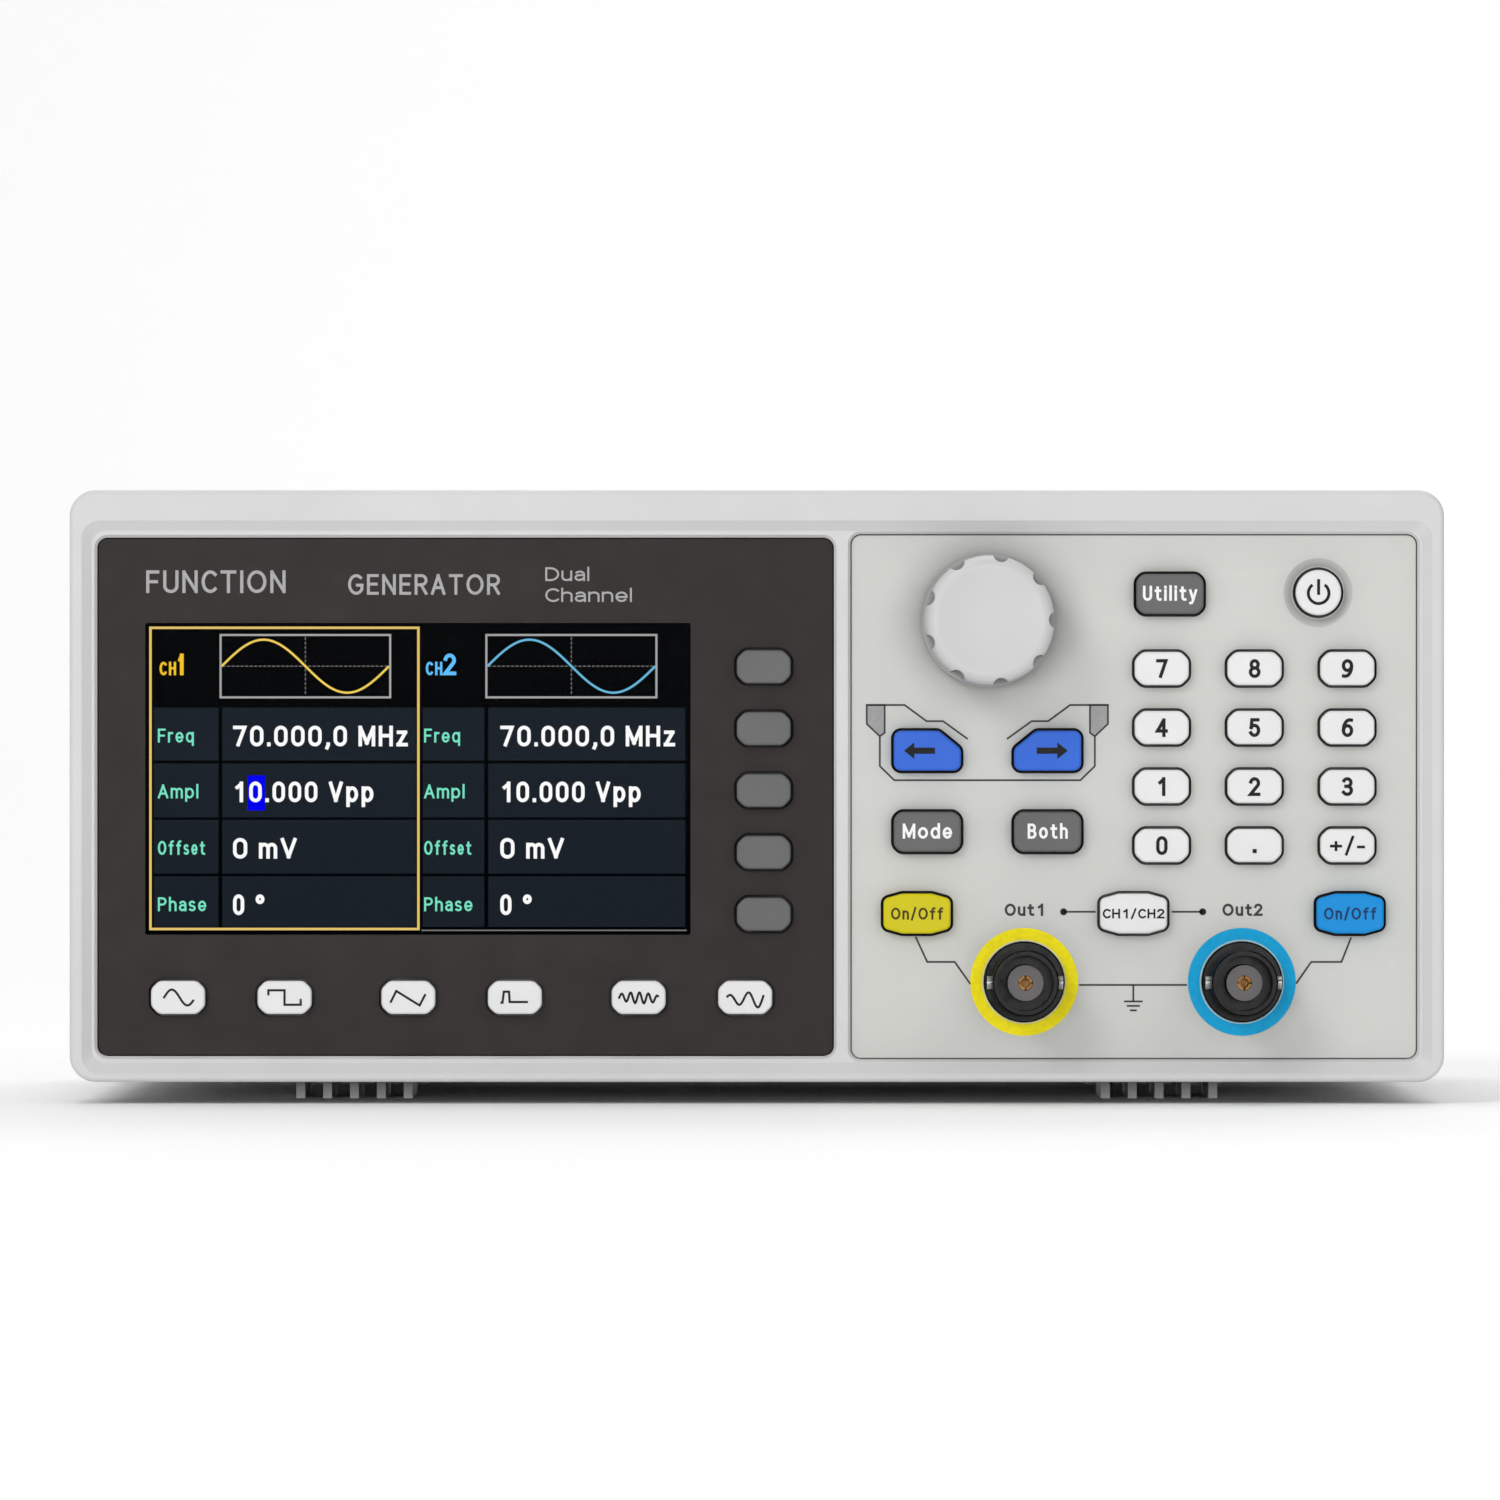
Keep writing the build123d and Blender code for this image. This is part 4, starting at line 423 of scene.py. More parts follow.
# the middle lines of each letter's strokes, where a capital is 1 high
GLYPHS = {
    "0": [[(0.52, 0.68), *arc(0.26, 0.70, 0.26, 0.30, 0, 180),
           *arc(0.26, 0.30, 0.26, 0.30, 180, 360), (0.52, 0.68)]],
    "1": [[(0.03, 0.76), (0.25, 0.95)], [(0.27, 0), (0.27, 1.0)]],
    "2": [[*arc(0.26, 0.73, 0.25, 0.27, 165, -32), (0, 0), (0.53, 0)]],
    "3": [[*arc(0.24, 0.76, 0.24, 0.24, 150, -90), (0.16, 0.52)],
          [(0.16, 0.52), *arc(0.24, 0.26, 0.27, 0.26, 90, -150)]],
    "4": [[(0.41, 0), (0.41, 0.98)], [(0.39, 0.96), (0, 0.28), (0.56, 0.28)]],
    "5": [[(0.47, 1.0), (0.09, 1.0), (0.05, 0.50)], [(0.05, 0.52), *arc(0.25, 0.32, 0.27, 0.32, 125, -150)]],
    "6": [SIX_BOWL, SIX_BACK],
    "7": [[(0, 1.0), (0.52, 1.0), (0.18, 0)]],
    "8": [arc(0.27, 0.76, 0.22, 0.24, 0, 360), arc(0.27, 0.27, 0.27, 0.27, 0, 360)],
    "9": [[(0.53 - x, 1 - y) for x, y in stroke_line] for stroke_line in (SIX_BOWL, SIX_BACK)],
    "A": [[(0, 0), (0.30, 1.0)], [(0.60, 0), (0.30, 1.0)], [(0.12, 0.32), (0.48, 0.32)]],
    "B": [[(0, 0), (0, 1)], [(0, 1), *arc(0.27, 0.77, 0.21, 0.23, 90, -90), (0, 0.54)],
          [(0, 0.54), *arc(0.27, 0.27, 0.25, 0.27, 90, -90), (0, 0)]],
    "C": [arc(0.34, 0.5, 0.33, 0.5, 48, 312)],
    "D": [[(0, 0), (0, 1), (0.22, 1), *arc(0.22, 0.5, 0.38, 0.5, 90, -90), (0, 0)]],
    "E": [[(0.46, 1), (0, 1), (0, 0), (0.46, 0)], [(0, 0.52), (0.40, 0.52)]],
    "F": [[(0.46, 1), (0, 1), (0, 0)], [(0, 0.50), (0.40, 0.50)]],
    "G": [[*arc(0.36, 0.5, 0.35, 0.5, 50, 325), (0.66, 0.46), (0.42, 0.46)]],
    "H": [[(0, 0), (0, 1)], [(0.56, 0), (0.56, 1)], [(0, 0.52), (0.56, 0.52)]],
    "I": [[(0, 0), (0, 1)]],
    "M": [[(0, 0), (0, 1)], [(0.02, 0.97), (0.35, 0.10)], [(0.68, 0.97), (0.35, 0.10)], [(0.70, 0), (0.70, 1)]],
    "N": [[(0, 0), (0, 1)], [(0.02, 0.96), (0.54, 0.04)], [(0.56, 0), (0.56, 1)]],
    "O": [arc(0.37, 0.5, 0.37, 0.5, 0, 360)],
    "P": [[(0, 0), (0, 1)], P_BOWL],
    "R": [[(0, 0), (0, 1)], P_BOWL, [(0.26, 0.48), (0.52, 0)]],
    "S": [[*arc(0.26, 0.76, 0.23, 0.24, 40, 270), *arc(0.26, 0.26, 0.26, 0.26, 90, -140)]],
    "T": [[(0, 1), (0.58, 1)], [(0.29, 1), (0.29, 0)]],
    "U": [[(0, 1), *arc(0.28, 0.28, 0.28, 0.28, 180, 360), (0.56, 1)]],
    "V": [[(0, 1), (0.30, 0.02)], [(0.60, 1), (0.30, 0.02)]],
    "a": [[*arc(0.22, 0.47, 0.21, 0.25, 145, 0), (0.43, 0)],
          [(0.40, 0.42), *arc(0.20, 0.21, 0.20, 0.21, 90, 280), (0.41, 0.14)]],
    "c": [arc(0.25, 0.36, 0.24, 0.36, 50, 310)],
    "d": [BOWL, [(0.48, 0), (0.48, 1.04)]],
    "e": [[(0.04, 0.34), (0.46, 0.34)], arc(0.25, 0.36, 0.24, 0.36, -3, 318)],
    "f": [[(0.15, 0), (0.15, 0.82), *arc(0.33, 0.85, 0.18, 0.19, 180, 80)], [(0, 0.70), (0.32, 0.70)]],
    "g": [BOWL, [(0.48, 0.72), *arc(0.26, -0.08, 0.22, 0.20, 0, -140)]],
    "h": [TALL_STEM, ARCH],
    "i": [STEM, [(0, 0.97), (0, 1.0)]],
    "l": [TALL_STEM],
    "m": [STEM, [(0, 0.46), *arc(0.18, 0.50, 0.18, 0.22, 180, 0), (0.36, 0)],
          [(0.36, 0.46), *arc(0.54, 0.50, 0.18, 0.22, 180, 0), (0.72, 0)]],
    "n": [STEM, ARCH],
    "o": [arc(0.26, 0.36, 0.26, 0.36, 0, 360)],
    "p": [[(0, -0.28), (0, 0.72)], BOWL],
    "q": [BOWL, [(0.48, -0.28), (0.48, 0.72)]],
    "r": [STEM, [(0, 0.40), *arc(0.20, 0.46, 0.20, 0.26, 180, 75)]],
    "s": [[*arc(0.20, 0.54, 0.18, 0.18, 40, 270), *arc(0.20, 0.18, 0.20, 0.18, 90, -140)]],
    "t": [[(0.14, 0.94), *arc(0.32, 0.19, 0.18, 0.19, 180, 285)], [(0, 0.70), (0.34, 0.70)]],
    "u": [[(0, 0.72), *arc(0.22, 0.24, 0.22, 0.24, 180, 360), (0.44, 0.72)], [(0.44, 0), (0.44, 0.24)]],
    "y": [[(0, 0.72), (0.24, 0.02)], [(0.48, 0.72), (0.20, -0.14), (0.12, -0.26), (0.02, -0.28)]],
    "z": [[(0.02, 0.72), (0.38, 0.72)], [(0.38, 0.70), (0.03, 0.02)], [(0, 0), (0.42, 0)]],
    "/": [[(0, -0.10), (0.34, 1.08)]],
    "+": [[(0, 0.46), (0.50, 0.46)], [(0.25, 0.71), (0.25, 0.21)]],
    "-": [[(0, 0.40), (0.28, 0.40)]],
    ".": [[(0, 0), (0, 0.03)]],
    ",": [[(0.04, 0.03), (0.04, -0.03), (-0.02, -0.18)]],
    "~": [[(0.12 * step, 0.42 + 0.09 * math.sin(step * math.pi / 2)) for step in range(5)]],
    "\u00b0": [arc(0.17, 0.82, 0.18, 0.18, 0, 360)],
}
SPACE_WIDTH = 0.05
DIGIT_WIDTH = 0.53
STROKE_STEP = 0.12
LETTER_GAP = 0.17


def distinct(points):
    """The line without any point that repeats the one before it."""
    kept = [points[0]]
    for point in points[1:]:
        if math.dist(point, kept[-1]) > 0.001:
            kept.append(point)
    return kept


def squared(points, reach):
    """The same open line with each end moved on by a reach, as a pen's square cap does."""
    start, second, before, end = (Vector(points[index]) for index in (0, 1, -2, -1))
    return [tuple(start + (start - second).normalized() * reach), *points[1:-1],
            tuple(end + (end - before).normalized() * reach)]


def lettering(name, words, x, z, cap_height, y_back, material, body=HOUSING, weight=0.12, width=None,
              align="centre", toward=-1, thickness=INK):
    """Printed words in the XZ plane, made of strokes.

    z is the middle of the capitals' height, and weight the stroke's width as a share of that height. A width
    stretches the letters until the words are that wide. A letter's strokes step up a little where they cross, so
    that no two faces share a plane.
    """
    pen = weight * cap_height
    height = cap_height - pen
    letters = []
    for letter in words:
        lines = [distinct(line) for line in GLYPHS.get(letter, [])]
        edges = [point[0] for line in lines for point in line] or [0, SPACE_WIDTH]
        low, high = min(edges), max(edges)
        if letter.isdigit():
            side = (DIGIT_WIDTH - (high - low)) / 2
            low, high = low - side, high + side
        letters.append((lines, low, high))
    fixed = len(words) * pen + (len(words) - 1) * LETTER_GAP * cap_height
    natural = sum(high - low for _, low, high in letters) * height
    stretch = (width - fixed) / natural if width else 1.0
    total = fixed + natural * stretch
    start = {"left": 0.0, "centre": -total / 2, "right": -total}[align]
    mesh_data = bmesh.new()
    for lines, low, high in letters:
        for line in lines:
            placed = [(start + pen / 2 + (px - low) * height * stretch, pz * height - height / 2)
                      for px, pz in line]
            closed = math.dist(line[0], line[-1]) < 0.001
            placed = placed[:-1] if closed else squared(placed, pen / 2)
            stroke(mesh_data, [(x - toward * px, z + pz) for px, pz in placed], pen, y_back,
                   thickness * (1 + STROKE_STEP * lines.index(line)), closed, toward)
        start += pen + (high - low) * height * stretch + LETTER_GAP * cap_height
    return to_object(name, mesh_data, material, body)


# ---------------------------------------------------------------------------- materials

DISPLAY_DOTS = (480, 272)
ACTIVE_WIDTH = 78.6 * MM
DOT = ACTIVE_WIDTH / DISPLAY_DOTS[0]


def bright_key(name, colour):
    return moulded_plastic(name, linear(colour), 0.42, 2600, 0.01, sheen=0.15, gap_shade_depth=GAP_SHADE_DEPTH)


# painted shade and shadow: the keypad panel and the knob get painted ambient-occlusion shade; keys and both panels
# are painted black behind the panels' face as shadow in their gaps
light_plastic = moulded_plastic("light_plastic", linear(196), 0.42, 2400, 0.02)
cover_plastic = moulded_plastic("cover_plastic", linear(204), 0.5, 1600, 0.05)
overlay_plastic = moulded_plastic("panel_overlay", linear((193, 194, 189)), 0.55, 1900, 0.05, 0.02, occlusion_shade=0.95,
                                  gap_shade_depth=0.7 * MM)
screen_plastic = moulded_plastic("screen_overlay", linear((41, 36, 35)), 0.5, 900, 0.01, 0.02, sheen=0.16,
                                 gap_shade_depth=GAP_SHADE_DEPTH)
knob_plastic = moulded_plastic("knob_plastic", linear(188), 0.4, 2600, 0.015, occlusion_shade=0.9)
white_plastic = moulded_plastic("white_key", linear(214), 0.4, 2600, 0.01, gap_shade_depth=GAP_SHADE_DEPTH)
grey_plastic = moulded_plastic("grey_key", linear(94), 0.45, 2600, 0.01, sheen=0.25, gap_shade_depth=GAP_SHADE_DEPTH)
blue_plastic = bright_key("blue_key", (50, 100, 204))
yellow_plastic = bright_key("yellow_key", (200, 188, 12))
cyan_plastic = bright_key("cyan_key", (10, 134, 206))
black_plastic = moulded_plastic("black_plastic", linear(34), 0.42, 1500, 0.04, 0.05)
silicone = moulded_plastic("silicone", linear(180), 0.62, 1400, 0.02)
insulator_plastic = moulded_plastic("insulator", linear((84, 80, 82)), 0.45, 1800, 0.01)
cable_sheath = moulded_plastic("cable_sheath", linear(150), 0.5, 1500, 0.01)
rear_paint = moulded_plastic("rear_paint", linear(196), 0.5, 1300, 0.05)
component_black = moulded_plastic("component_black", linear(30), 0.5, 1500, 0.02)
component_body = moulded_plastic("component_body", linear((46, 52, 74)), 0.4, 1500, 0.02)
# painted shadow: near black for faces seen only through the gaps round panels and keys
gap_shadow = moulded_plastic("gap_shadow", linear(12), 0.8, 1500, 0.02)
dark_nickel = metal("dark_nickel", linear(24), 0.2, scale=500, depth=0.001, rim=0.25)
steel = metal("plated_steel", linear(190), 0.32)
contact_gold = metal("contact_gold", linear((104, 76, 44)), 0.34)
aluminium = metal("aluminium", linear(205), 0.38, (1, 0.05, 1), 1500)
board_green = circuit_board_surface("solder_mask")
lens_material = clear_lens("display_lens")
black_ink = ink("black_ink", linear(24))
key_ink = ink("key_ink", linear(30))
line_ink = ink("line_ink", linear(58))
grey_ink = ink("grey_ink", linear(152))
white_ink = ink("white_ink", linear(232))
legend_ink = ink("legend_ink", linear(160))
yellow_ink = ink("yellow_ink", linear((236, 220, 4)))
cyan_ink = ink("cyan_ink", linear((0, 157, 210)))
pale_ink = ink("pale_ink", linear((226, 220, 164)))
pale_blue_ink = ink("pale_blue_ink", linear((164, 206, 218)))
brown_ink = ink("brown_ink", linear((66, 54, 10)))
navy_ink = ink("navy_ink", linear((20, 52, 96)))

screen_black = display_light("screen_black", linear((2, 3, 4)))
screen_row = display_light("screen_row", linear((26, 33, 41)))
screen_white = display_light("screen_white", linear(252))
screen_mint = display_light("screen_mint", linear((120, 226, 196)))
screen_frame = display_light("screen_frame", linear(168))
screen_dash = display_light("screen_dash", linear(120))
screen_yellow = display_light("screen_yellow", linear((238, 206, 92)))
screen_amber = display_light("screen_amber", linear((244, 194, 42)))
screen_blue = display_light("screen_blue", linear((104, 184, 220)))
screen_sky = display_light("screen_sky", linear((98, 190, 250)))
screen_cursor = display_light("screen_cursor", linear((0, 0, 238)))
screen_edge = display_light("screen_edge", linear((228, 196, 110)))


def give(material, *names):
    """Give CAD nodes one material in place of the imported one."""
    for name in names:
        data = nodes[name].data
        data.materials.clear()
        data.materials.append(material)


def dress_nodes():
    give(light_plastic, "front_bezel", "tilt_leg_left", "tilt_leg_right")
    give(cover_plastic, "top_cover", "bottom_cover")
    give(screen_plastic, "screen_panel")
    give(lens_material, "display_lens")
    give(overlay_plastic, "keypad_panel")
    give(silicone, "key_mats")
    give(board_green, "front_board", "main_board", "power_board")
    give(steel, "lcd_module", "rotary_encoder", "encoder_shaft", "bnc_nuts", "usb_port", "screws")
    give(knob_plastic, "tuning_knob")
    give(dark_nickel, "bnc_shells")
    give(insulator_plastic, "bnc_insulators")
    give(contact_gold, "bnc_contacts")
    give(rear_paint, "rear_panel")
    give(aluminium, "heat_sink")
    give(black_plastic, "power_inlet", "fuse_drawer", "power_rocker")
    give(cable_sheath, "internal_cables")
    give(white_plastic, *SMALL_WHITE, "channel_select_key", "power_key")
    give(grey_plastic, *SOFT_KEYS, "utility_key", "mode_key", "both_key")
    give(blue_plastic, "left_arrow_key", "right_arrow_key")
    give(yellow_plastic, "output_1_key")
    give(cyan_plastic, "output_2_key")


def paint_faces(name, rules):
    """Give some faces of a CAD node another material; each rule is a material and a test of centre and normal."""
    data = nodes[name].data
    for material, test in rules:
        data.materials.append(material)
        index = len(data.materials) - 1
        for polygon in data.polygons:
            if test(polygon.center, polygon.normal):
                polygon.material_index = index


def paint_details():
    """Colour the parts of a node that are made of something else, chosen by where their faces lie; the bezel's
    faces behind the panels get painted shadow.
    """
    low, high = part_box("front_bezel")
    inset = 4 * MM
    # painted shadow: the bezel's faces behind the panels' face, seen only through the gaps, are made near black
    paint_faces("front_bezel", [(gap_shadow, lambda centre, normal: (
        low.x + inset < centre.x < high.x - inset and low.z + inset < centre.z < high.z - inset
        and centre.y > PANEL_FACE_Y + GAP_SHADE_DEPTH))])
    lug_reach = 4.95 * MM
    paint_faces("bnc_shells", [(steel, lambda centre, normal: (
        centre.y < PANEL_FACE_Y - 2 * MM and min(abs(centre.x - jack_x * MM) for jack_x in JACK_XS) > lug_reach))])
    paint_faces("lcd_module", [(screen_black, lambda centre, normal: (
        normal.y < -0.9 and centre.y < LCD_FACE_Y + 0.05 * MM))])
    board_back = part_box("front_board")[0].y + BOARD_THICKNESS + 0.05 * MM
    paint_faces("front_board", [(component_black, lambda centre, normal: centre.y > board_back)])
    paint_faces("power_inlet", [(steel, lambda centre, normal: abs(normal.y) < 0.5 and any(
        abs(centre.x - blade_x * MM) < 1.1 * MM and abs(centre.z - blade_z * MM) < 2.1 * MM
        for blade_x, blade_z in INLET_BLADES))])
    usb_x, usb_z = USB_CENTRE
    paint_faces("usb_port", [(component_black, lambda centre, normal: (
        abs(centre.x - usb_x * MM) < 2.8 * MM and abs(centre.z - usb_z * MM) < 1.6 * MM
        and centre.y > REAR_FACE_Y - 8 * MM))])
    for name, tall in (("main_board", 6 * MM), ("power_board", 5 * MM)):
        board_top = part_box(name)[0].z + BOARD_THICKNESS + 0.05 * MM
        paint_faces(name, [
            (component_black, lambda centre, normal: centre.z > board_top),
            (component_body, lambda centre, normal: centre.z > board_top + tall / 2),
        ])


def smooth_nodes():
    for node in nodes.values():
        node.data.set_sharp_from_angle(angle=SHARP_ANGLE)


# ---------------------------------------------------------------------------- key legends


def key_face(name):
    low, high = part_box(name)
    return (low.x + high.x) / 2, (low.z + high.z) / 2, low.y


def key_words(name, words, cap_height, material, weight, width=None, rise=0.0):
    x, z, face_y = key_face(name)
    lettering(f"{name}_legend", words, x, z + rise * MM, cap_height * MM, face_y, material, name, weight,
              width and width * MM)


def key_line(name, lines, width, material):
    """Lines drawn on a key; points are in millimetres from the key's middle."""
    x, z, face_y = key_face(name)
    mesh_data = bmesh.new()
    for points in lines:
        placed = [(x + px * MM, z + pz * MM) for px, pz in points]
        stroke(mesh_data, placed, width * MM, face_y)
    return to_object(f"{name}_legend", mesh_data, material, name)


def wave_points(function, start, end, steps):
    return [(start + (end - start) * step / steps, function(step / steps)) for step in range(steps + 1)]


def arrow_outline(direction):
    """A block arrow 4.5 mm long, pointing left or right."""
    shape = [(-2.25, 0), (-0.75, 1.2), (-0.75, 0.45), (2.25, 0.45), (2.25, -0.45), (-0.75, -0.45), (-0.75, -1.2)]
    return [(-direction * px, pz) for px, pz in shape]


def draw_key_legends():
    for digit in range(10):
        key_words(f"key_{digit}", str(digit), 2.75, black_ink, 0.18)
    key_words("key_sign", "+/-", 2.5, black_ink, 0.16, 5.1)
    x, z, face_y = key_face("key_point")
    dot = bmesh.new()
    solid_from_outline(dot, box_outline(x - 0.3 * MM, x + 0.3 * MM, z - 1.1 * MM, z - 0.5 * MM), face_y, INK)
    to_object("key_point_legend", dot, black_ink, "key_point")
    grey_words = (("utility_key", "Utility", 7.9), ("mode_key", "Mode", 7.19), ("both_key", "Both", 5.84))
    for name, words, width in grey_words:
        key_words(name, words, 2.2, white_ink, 0.17, width, 0.1)
    key_words("output_1_key", "On/Off", 1.73, brown_ink, 0.17, 7.6)
    key_words("output_2_key", "On/Off", 1.73, navy_ink, 0.17, 7.6)
    key_words("channel_select_key", "CH1/CH2", 1.4, black_ink, 0.19, 9.0)
    for name, direction, shift in (("left_arrow_key", -1, -1.15), ("right_arrow_key", 1, 0.65)):
        x, z, face_y = key_face(name)
        outline = [(x + (px + shift) * MM, z + pz * MM) for px, pz in arrow_outline(direction)]
        arrow = bmesh.new()
        solid_from_outline(arrow, outline, face_y, INK)
        to_object(f"{name}_legend", arrow, black_ink, name)
    line = 0.33
    sine = wave_points(lambda t: 1.15 * math.sin(t * math.tau * 0.97 - 0.1), -2.1, 2.3, 40)
    square = [(-2.35, 0.3), (-2.35, 1.05), (0, 1.05), (0, -1.05), (2.35, -1.05), (2.35, -0.2)]
    ramp = [(-2.6, -0.75), (-1.75, 0.95), (1.65, -1.15), (2.5, 0.5)]
    pulse = [(-2.1, -0.75), (-1.8, -0.75), (-1.6, 0.85), (-0.85, 0.85), (-0.75, -0.65), (1.9, -0.65)]
    noise = wave_points(lambda t: (0.55 + 0.5 * math.sin(t * math.pi)) * 0.75 * math.sin(t * math.tau * 4.5 - 0.6)
                        - 0.25 * (t - 0.3), -2.9, 2.9, 110)
    arbitrary = wave_points(lambda t: (0.55 + 0.75 * t) * math.sin(t * math.tau * 2.0 + 0.5) - 0.25, -2.7, 2.7, 64)
    for name, points in (("sine", sine), ("square", square), ("ramp", ramp), ("pulse", pulse), ("noise", noise),
                         ("arbitrary", arbitrary)):
        key_line(f"{name}_key", [points], line, key_ink)
    open_half = math.radians(36)
    swing = math.tau - 2 * open_half
    angles = [open_half + swing * step / 44 for step in range(45)]
    power_arc = [(1.5 * math.sin(angle), 1.5 * math.cos(angle) - 0.1) for angle in angles]
    key_line("power_key", [power_arc, [(0, -0.35), (0, 1.95)]], 0.44, black_ink)


# ---------------------------------------------------------------------------- panel print


def panel_lines(name, lines, width, material, closed=False):
    mesh_data = bmesh.new()
    for points in lines:
        stroke(mesh_data, [(px * MM, pz * MM) for px, pz in points], width * MM, PANEL_FACE_Y, closed=closed)
    return to_object(name, mesh_data, material, HOUSING)


def mirrored(points, about):
    return [(2 * about - px, pz) for px, pz in points]


def channel_print(number, text_x, dot_x, line_end, ring_ink, edge_ink):
    """The ring round an output jack, and its label with a dotted lead to it."""
    line_z = 27.95
    jack_x, jack_z = JACK_XS[number - 1] * MM, JACK_Z * MM
    ring(f"output_ring_{number}", jack_x, jack_z, 6.15 * MM, 7.85 * MM, PANEL_FACE_Y, ring_ink)
    ring(f"output_ring_edge_{number}", jack_x, jack_z, 5.95 * MM, 6.15 * MM, PANEL_FACE_Y, edge_ink)
    lettering(f"output_label_{number}", f"Out{number}", text_x * MM, 28.24 * MM, 1.78 * MM, PANEL_FACE_Y, line_ink,
              weight=0.19, width=5.84 * MM)
    mesh_data = bmesh.new()
    solid_from_outline(mesh_data, disc_points(dot_x * MM, line_z * MM, 0.5 * MM, 28), PANEL_FACE_Y, INK)
    to_object(f"channel_dot_{number}", mesh_data, black_ink, HOUSING)
    panel_lines(f"channel_line_{number}", [[(dot_x, line_z), (line_end, line_z)]], LINE, line_ink)


def draw_panel_print():
    axis_x = (middle_of("left_arrow_key").x + middle_of("right_arrow_key").x) / 2 / MM
    bracket = [(16.0, 58.05), (21.5, 58.05), (24.7, 55.7), (27.1, 55.7), (30.7, 53.1)]
    cup = [(17.9, 53.5), (17.9, 49.15), (20.0, 47.1), (axis_x, 47.1)]
    panel_lines("arrow_brackets", [bracket, mirrored(bracket, axis_x), cup, mirrored(cup, axis_x)], LINE, line_ink)
    tag = [(16.0, 58.05), (18.6, 58.05), (18.6, 54.0), (17.9, 53.5), (16.0, 55.3)]
    for side, outline in (("left", tag), ("right", mirrored(tag, axis_x))):
        mesh_data = bmesh.new()
        placed = [(px * MM, pz * MM) for px, pz in outline]
        solid_from_outline(mesh_data, placed, PANEL_FACE_Y, INK * 0.6)
        to_object(f"bracket_tag_{side}", mesh_data, grey_ink, HOUSING)
        panel_lines(f"bracket_tag_outline_{side}", [outline], LINE, line_ink, True)
    channel_print(1, 39.0, 44.65, 49.3, yellow_ink, pale_ink)
    channel_print(2, 70.7, 64.9, 60.4, cyan_ink, pale_blue_ink)
    first = [(23.1, 24.3), (24.8, 20.65), (28.8, 20.65), (31.1, 17.4)]
    second = [(86.5, 24.2), (85.1, 20.65), (80.7, 20.65), (78.5, 17.5)]
    panel_lines("output_lines", [first, second, [(46.9, 17.3), (62.6, 17.3)]], LINE, line_ink)
    earth_x = 54.8
    earth = [[(earth_x - half, z), (earth_x + half, z)] for half, z in ((1.35, 14.9), (0.95, 14.25), (0.5, 13.6))]
    panel_lines("earth_symbol", [[(earth_x, 17.3), (earth_x, 14.9)], *earth], LINE, line_ink)
    for name, words, x, z, cap_height, width in (
            ("instrument_kind", "FUNCTION", -88.9, 76.0, 3.3, 20.3),
            ("instrument_kind_second", "GENERATOR", -59.5, 75.6, 3.0, 22.1),
            ("instrument_channels", "Dual", -30.8, 77.1, 2.0, 6.4),
            ("instrument_channels_second", "Channel", -30.8, 74.05, 2.0, 12.6)):
        lettering(name, words, x * MM, z * MM, cap_height * MM, PANEL_FACE_Y, legend_ink,
                  align="left", weight=0.14, width=width * MM)


# ---------------------------------------------------------------------------- display

DISPLAY_LEFT = -88.65 * MM
DISPLAY_TOP = 69.6 * MM
DISPLAY_Y = LCD_FACE_Y
DISPLAY_FILM = 0.02 * MM


def dots_to_place(x, y):
    """The place of a display dot, counted from the top left."""
    return DISPLAY_LEFT + x * DOT, DISPLAY_TOP - y * DOT


def display_box(name, x0, y0, x1, y1, material, layer=1):
    left, top = dots_to_place(x0, y0)
    right, bottom = dots_to_place(x1, y1)
    mesh_data = bmesh.new()
    solid_from_outline(mesh_data, box_outline(left, right, bottom, top), DISPLAY_Y, DISPLAY_FILM * layer)
    return to_object(name, mesh_data, material, HOUSING)


def display_lines(name, lines, width, material, layer=3, closed=False):
    mesh_data = bmesh.new()
    for points in lines:
        placed = [dots_to_place(*point) for point in points]
        stroke(mesh_data, placed, width * DOT, DISPLAY_Y, DISPLAY_FILM * layer, closed)
    return to_object(name, mesh_data, material, HOUSING)


def display_words(name, words, x, baseline, cap_dots, material, weight, width=None):
    """Words on the display; x and the baseline are in dots from its top left."""
    place_x, place_z = dots_to_place(x, baseline - cap_dots / 2)
    return lettering(name, words, place_x, place_z, cap_dots * DOT, DISPLAY_Y, material,
                     align="left", weight=weight, width=width and width * DOT, thickness=DISPLAY_FILM * 4)


ROW_EDGES = ((72.8, 119.9), (122.5, 170.5), (172.7, 220.5), (222.9, 267.9))
ROW_NAMES = (("Freq", 32), ("Ampl", 36), ("Offset", 42), ("Phase", 43))
ROW_VALUES = (("70.000,0 MHz", 155.6), ("10.000 Vpp", 125.0), ("0 mV", 56.6), ("0 \u00b0", 28.0))


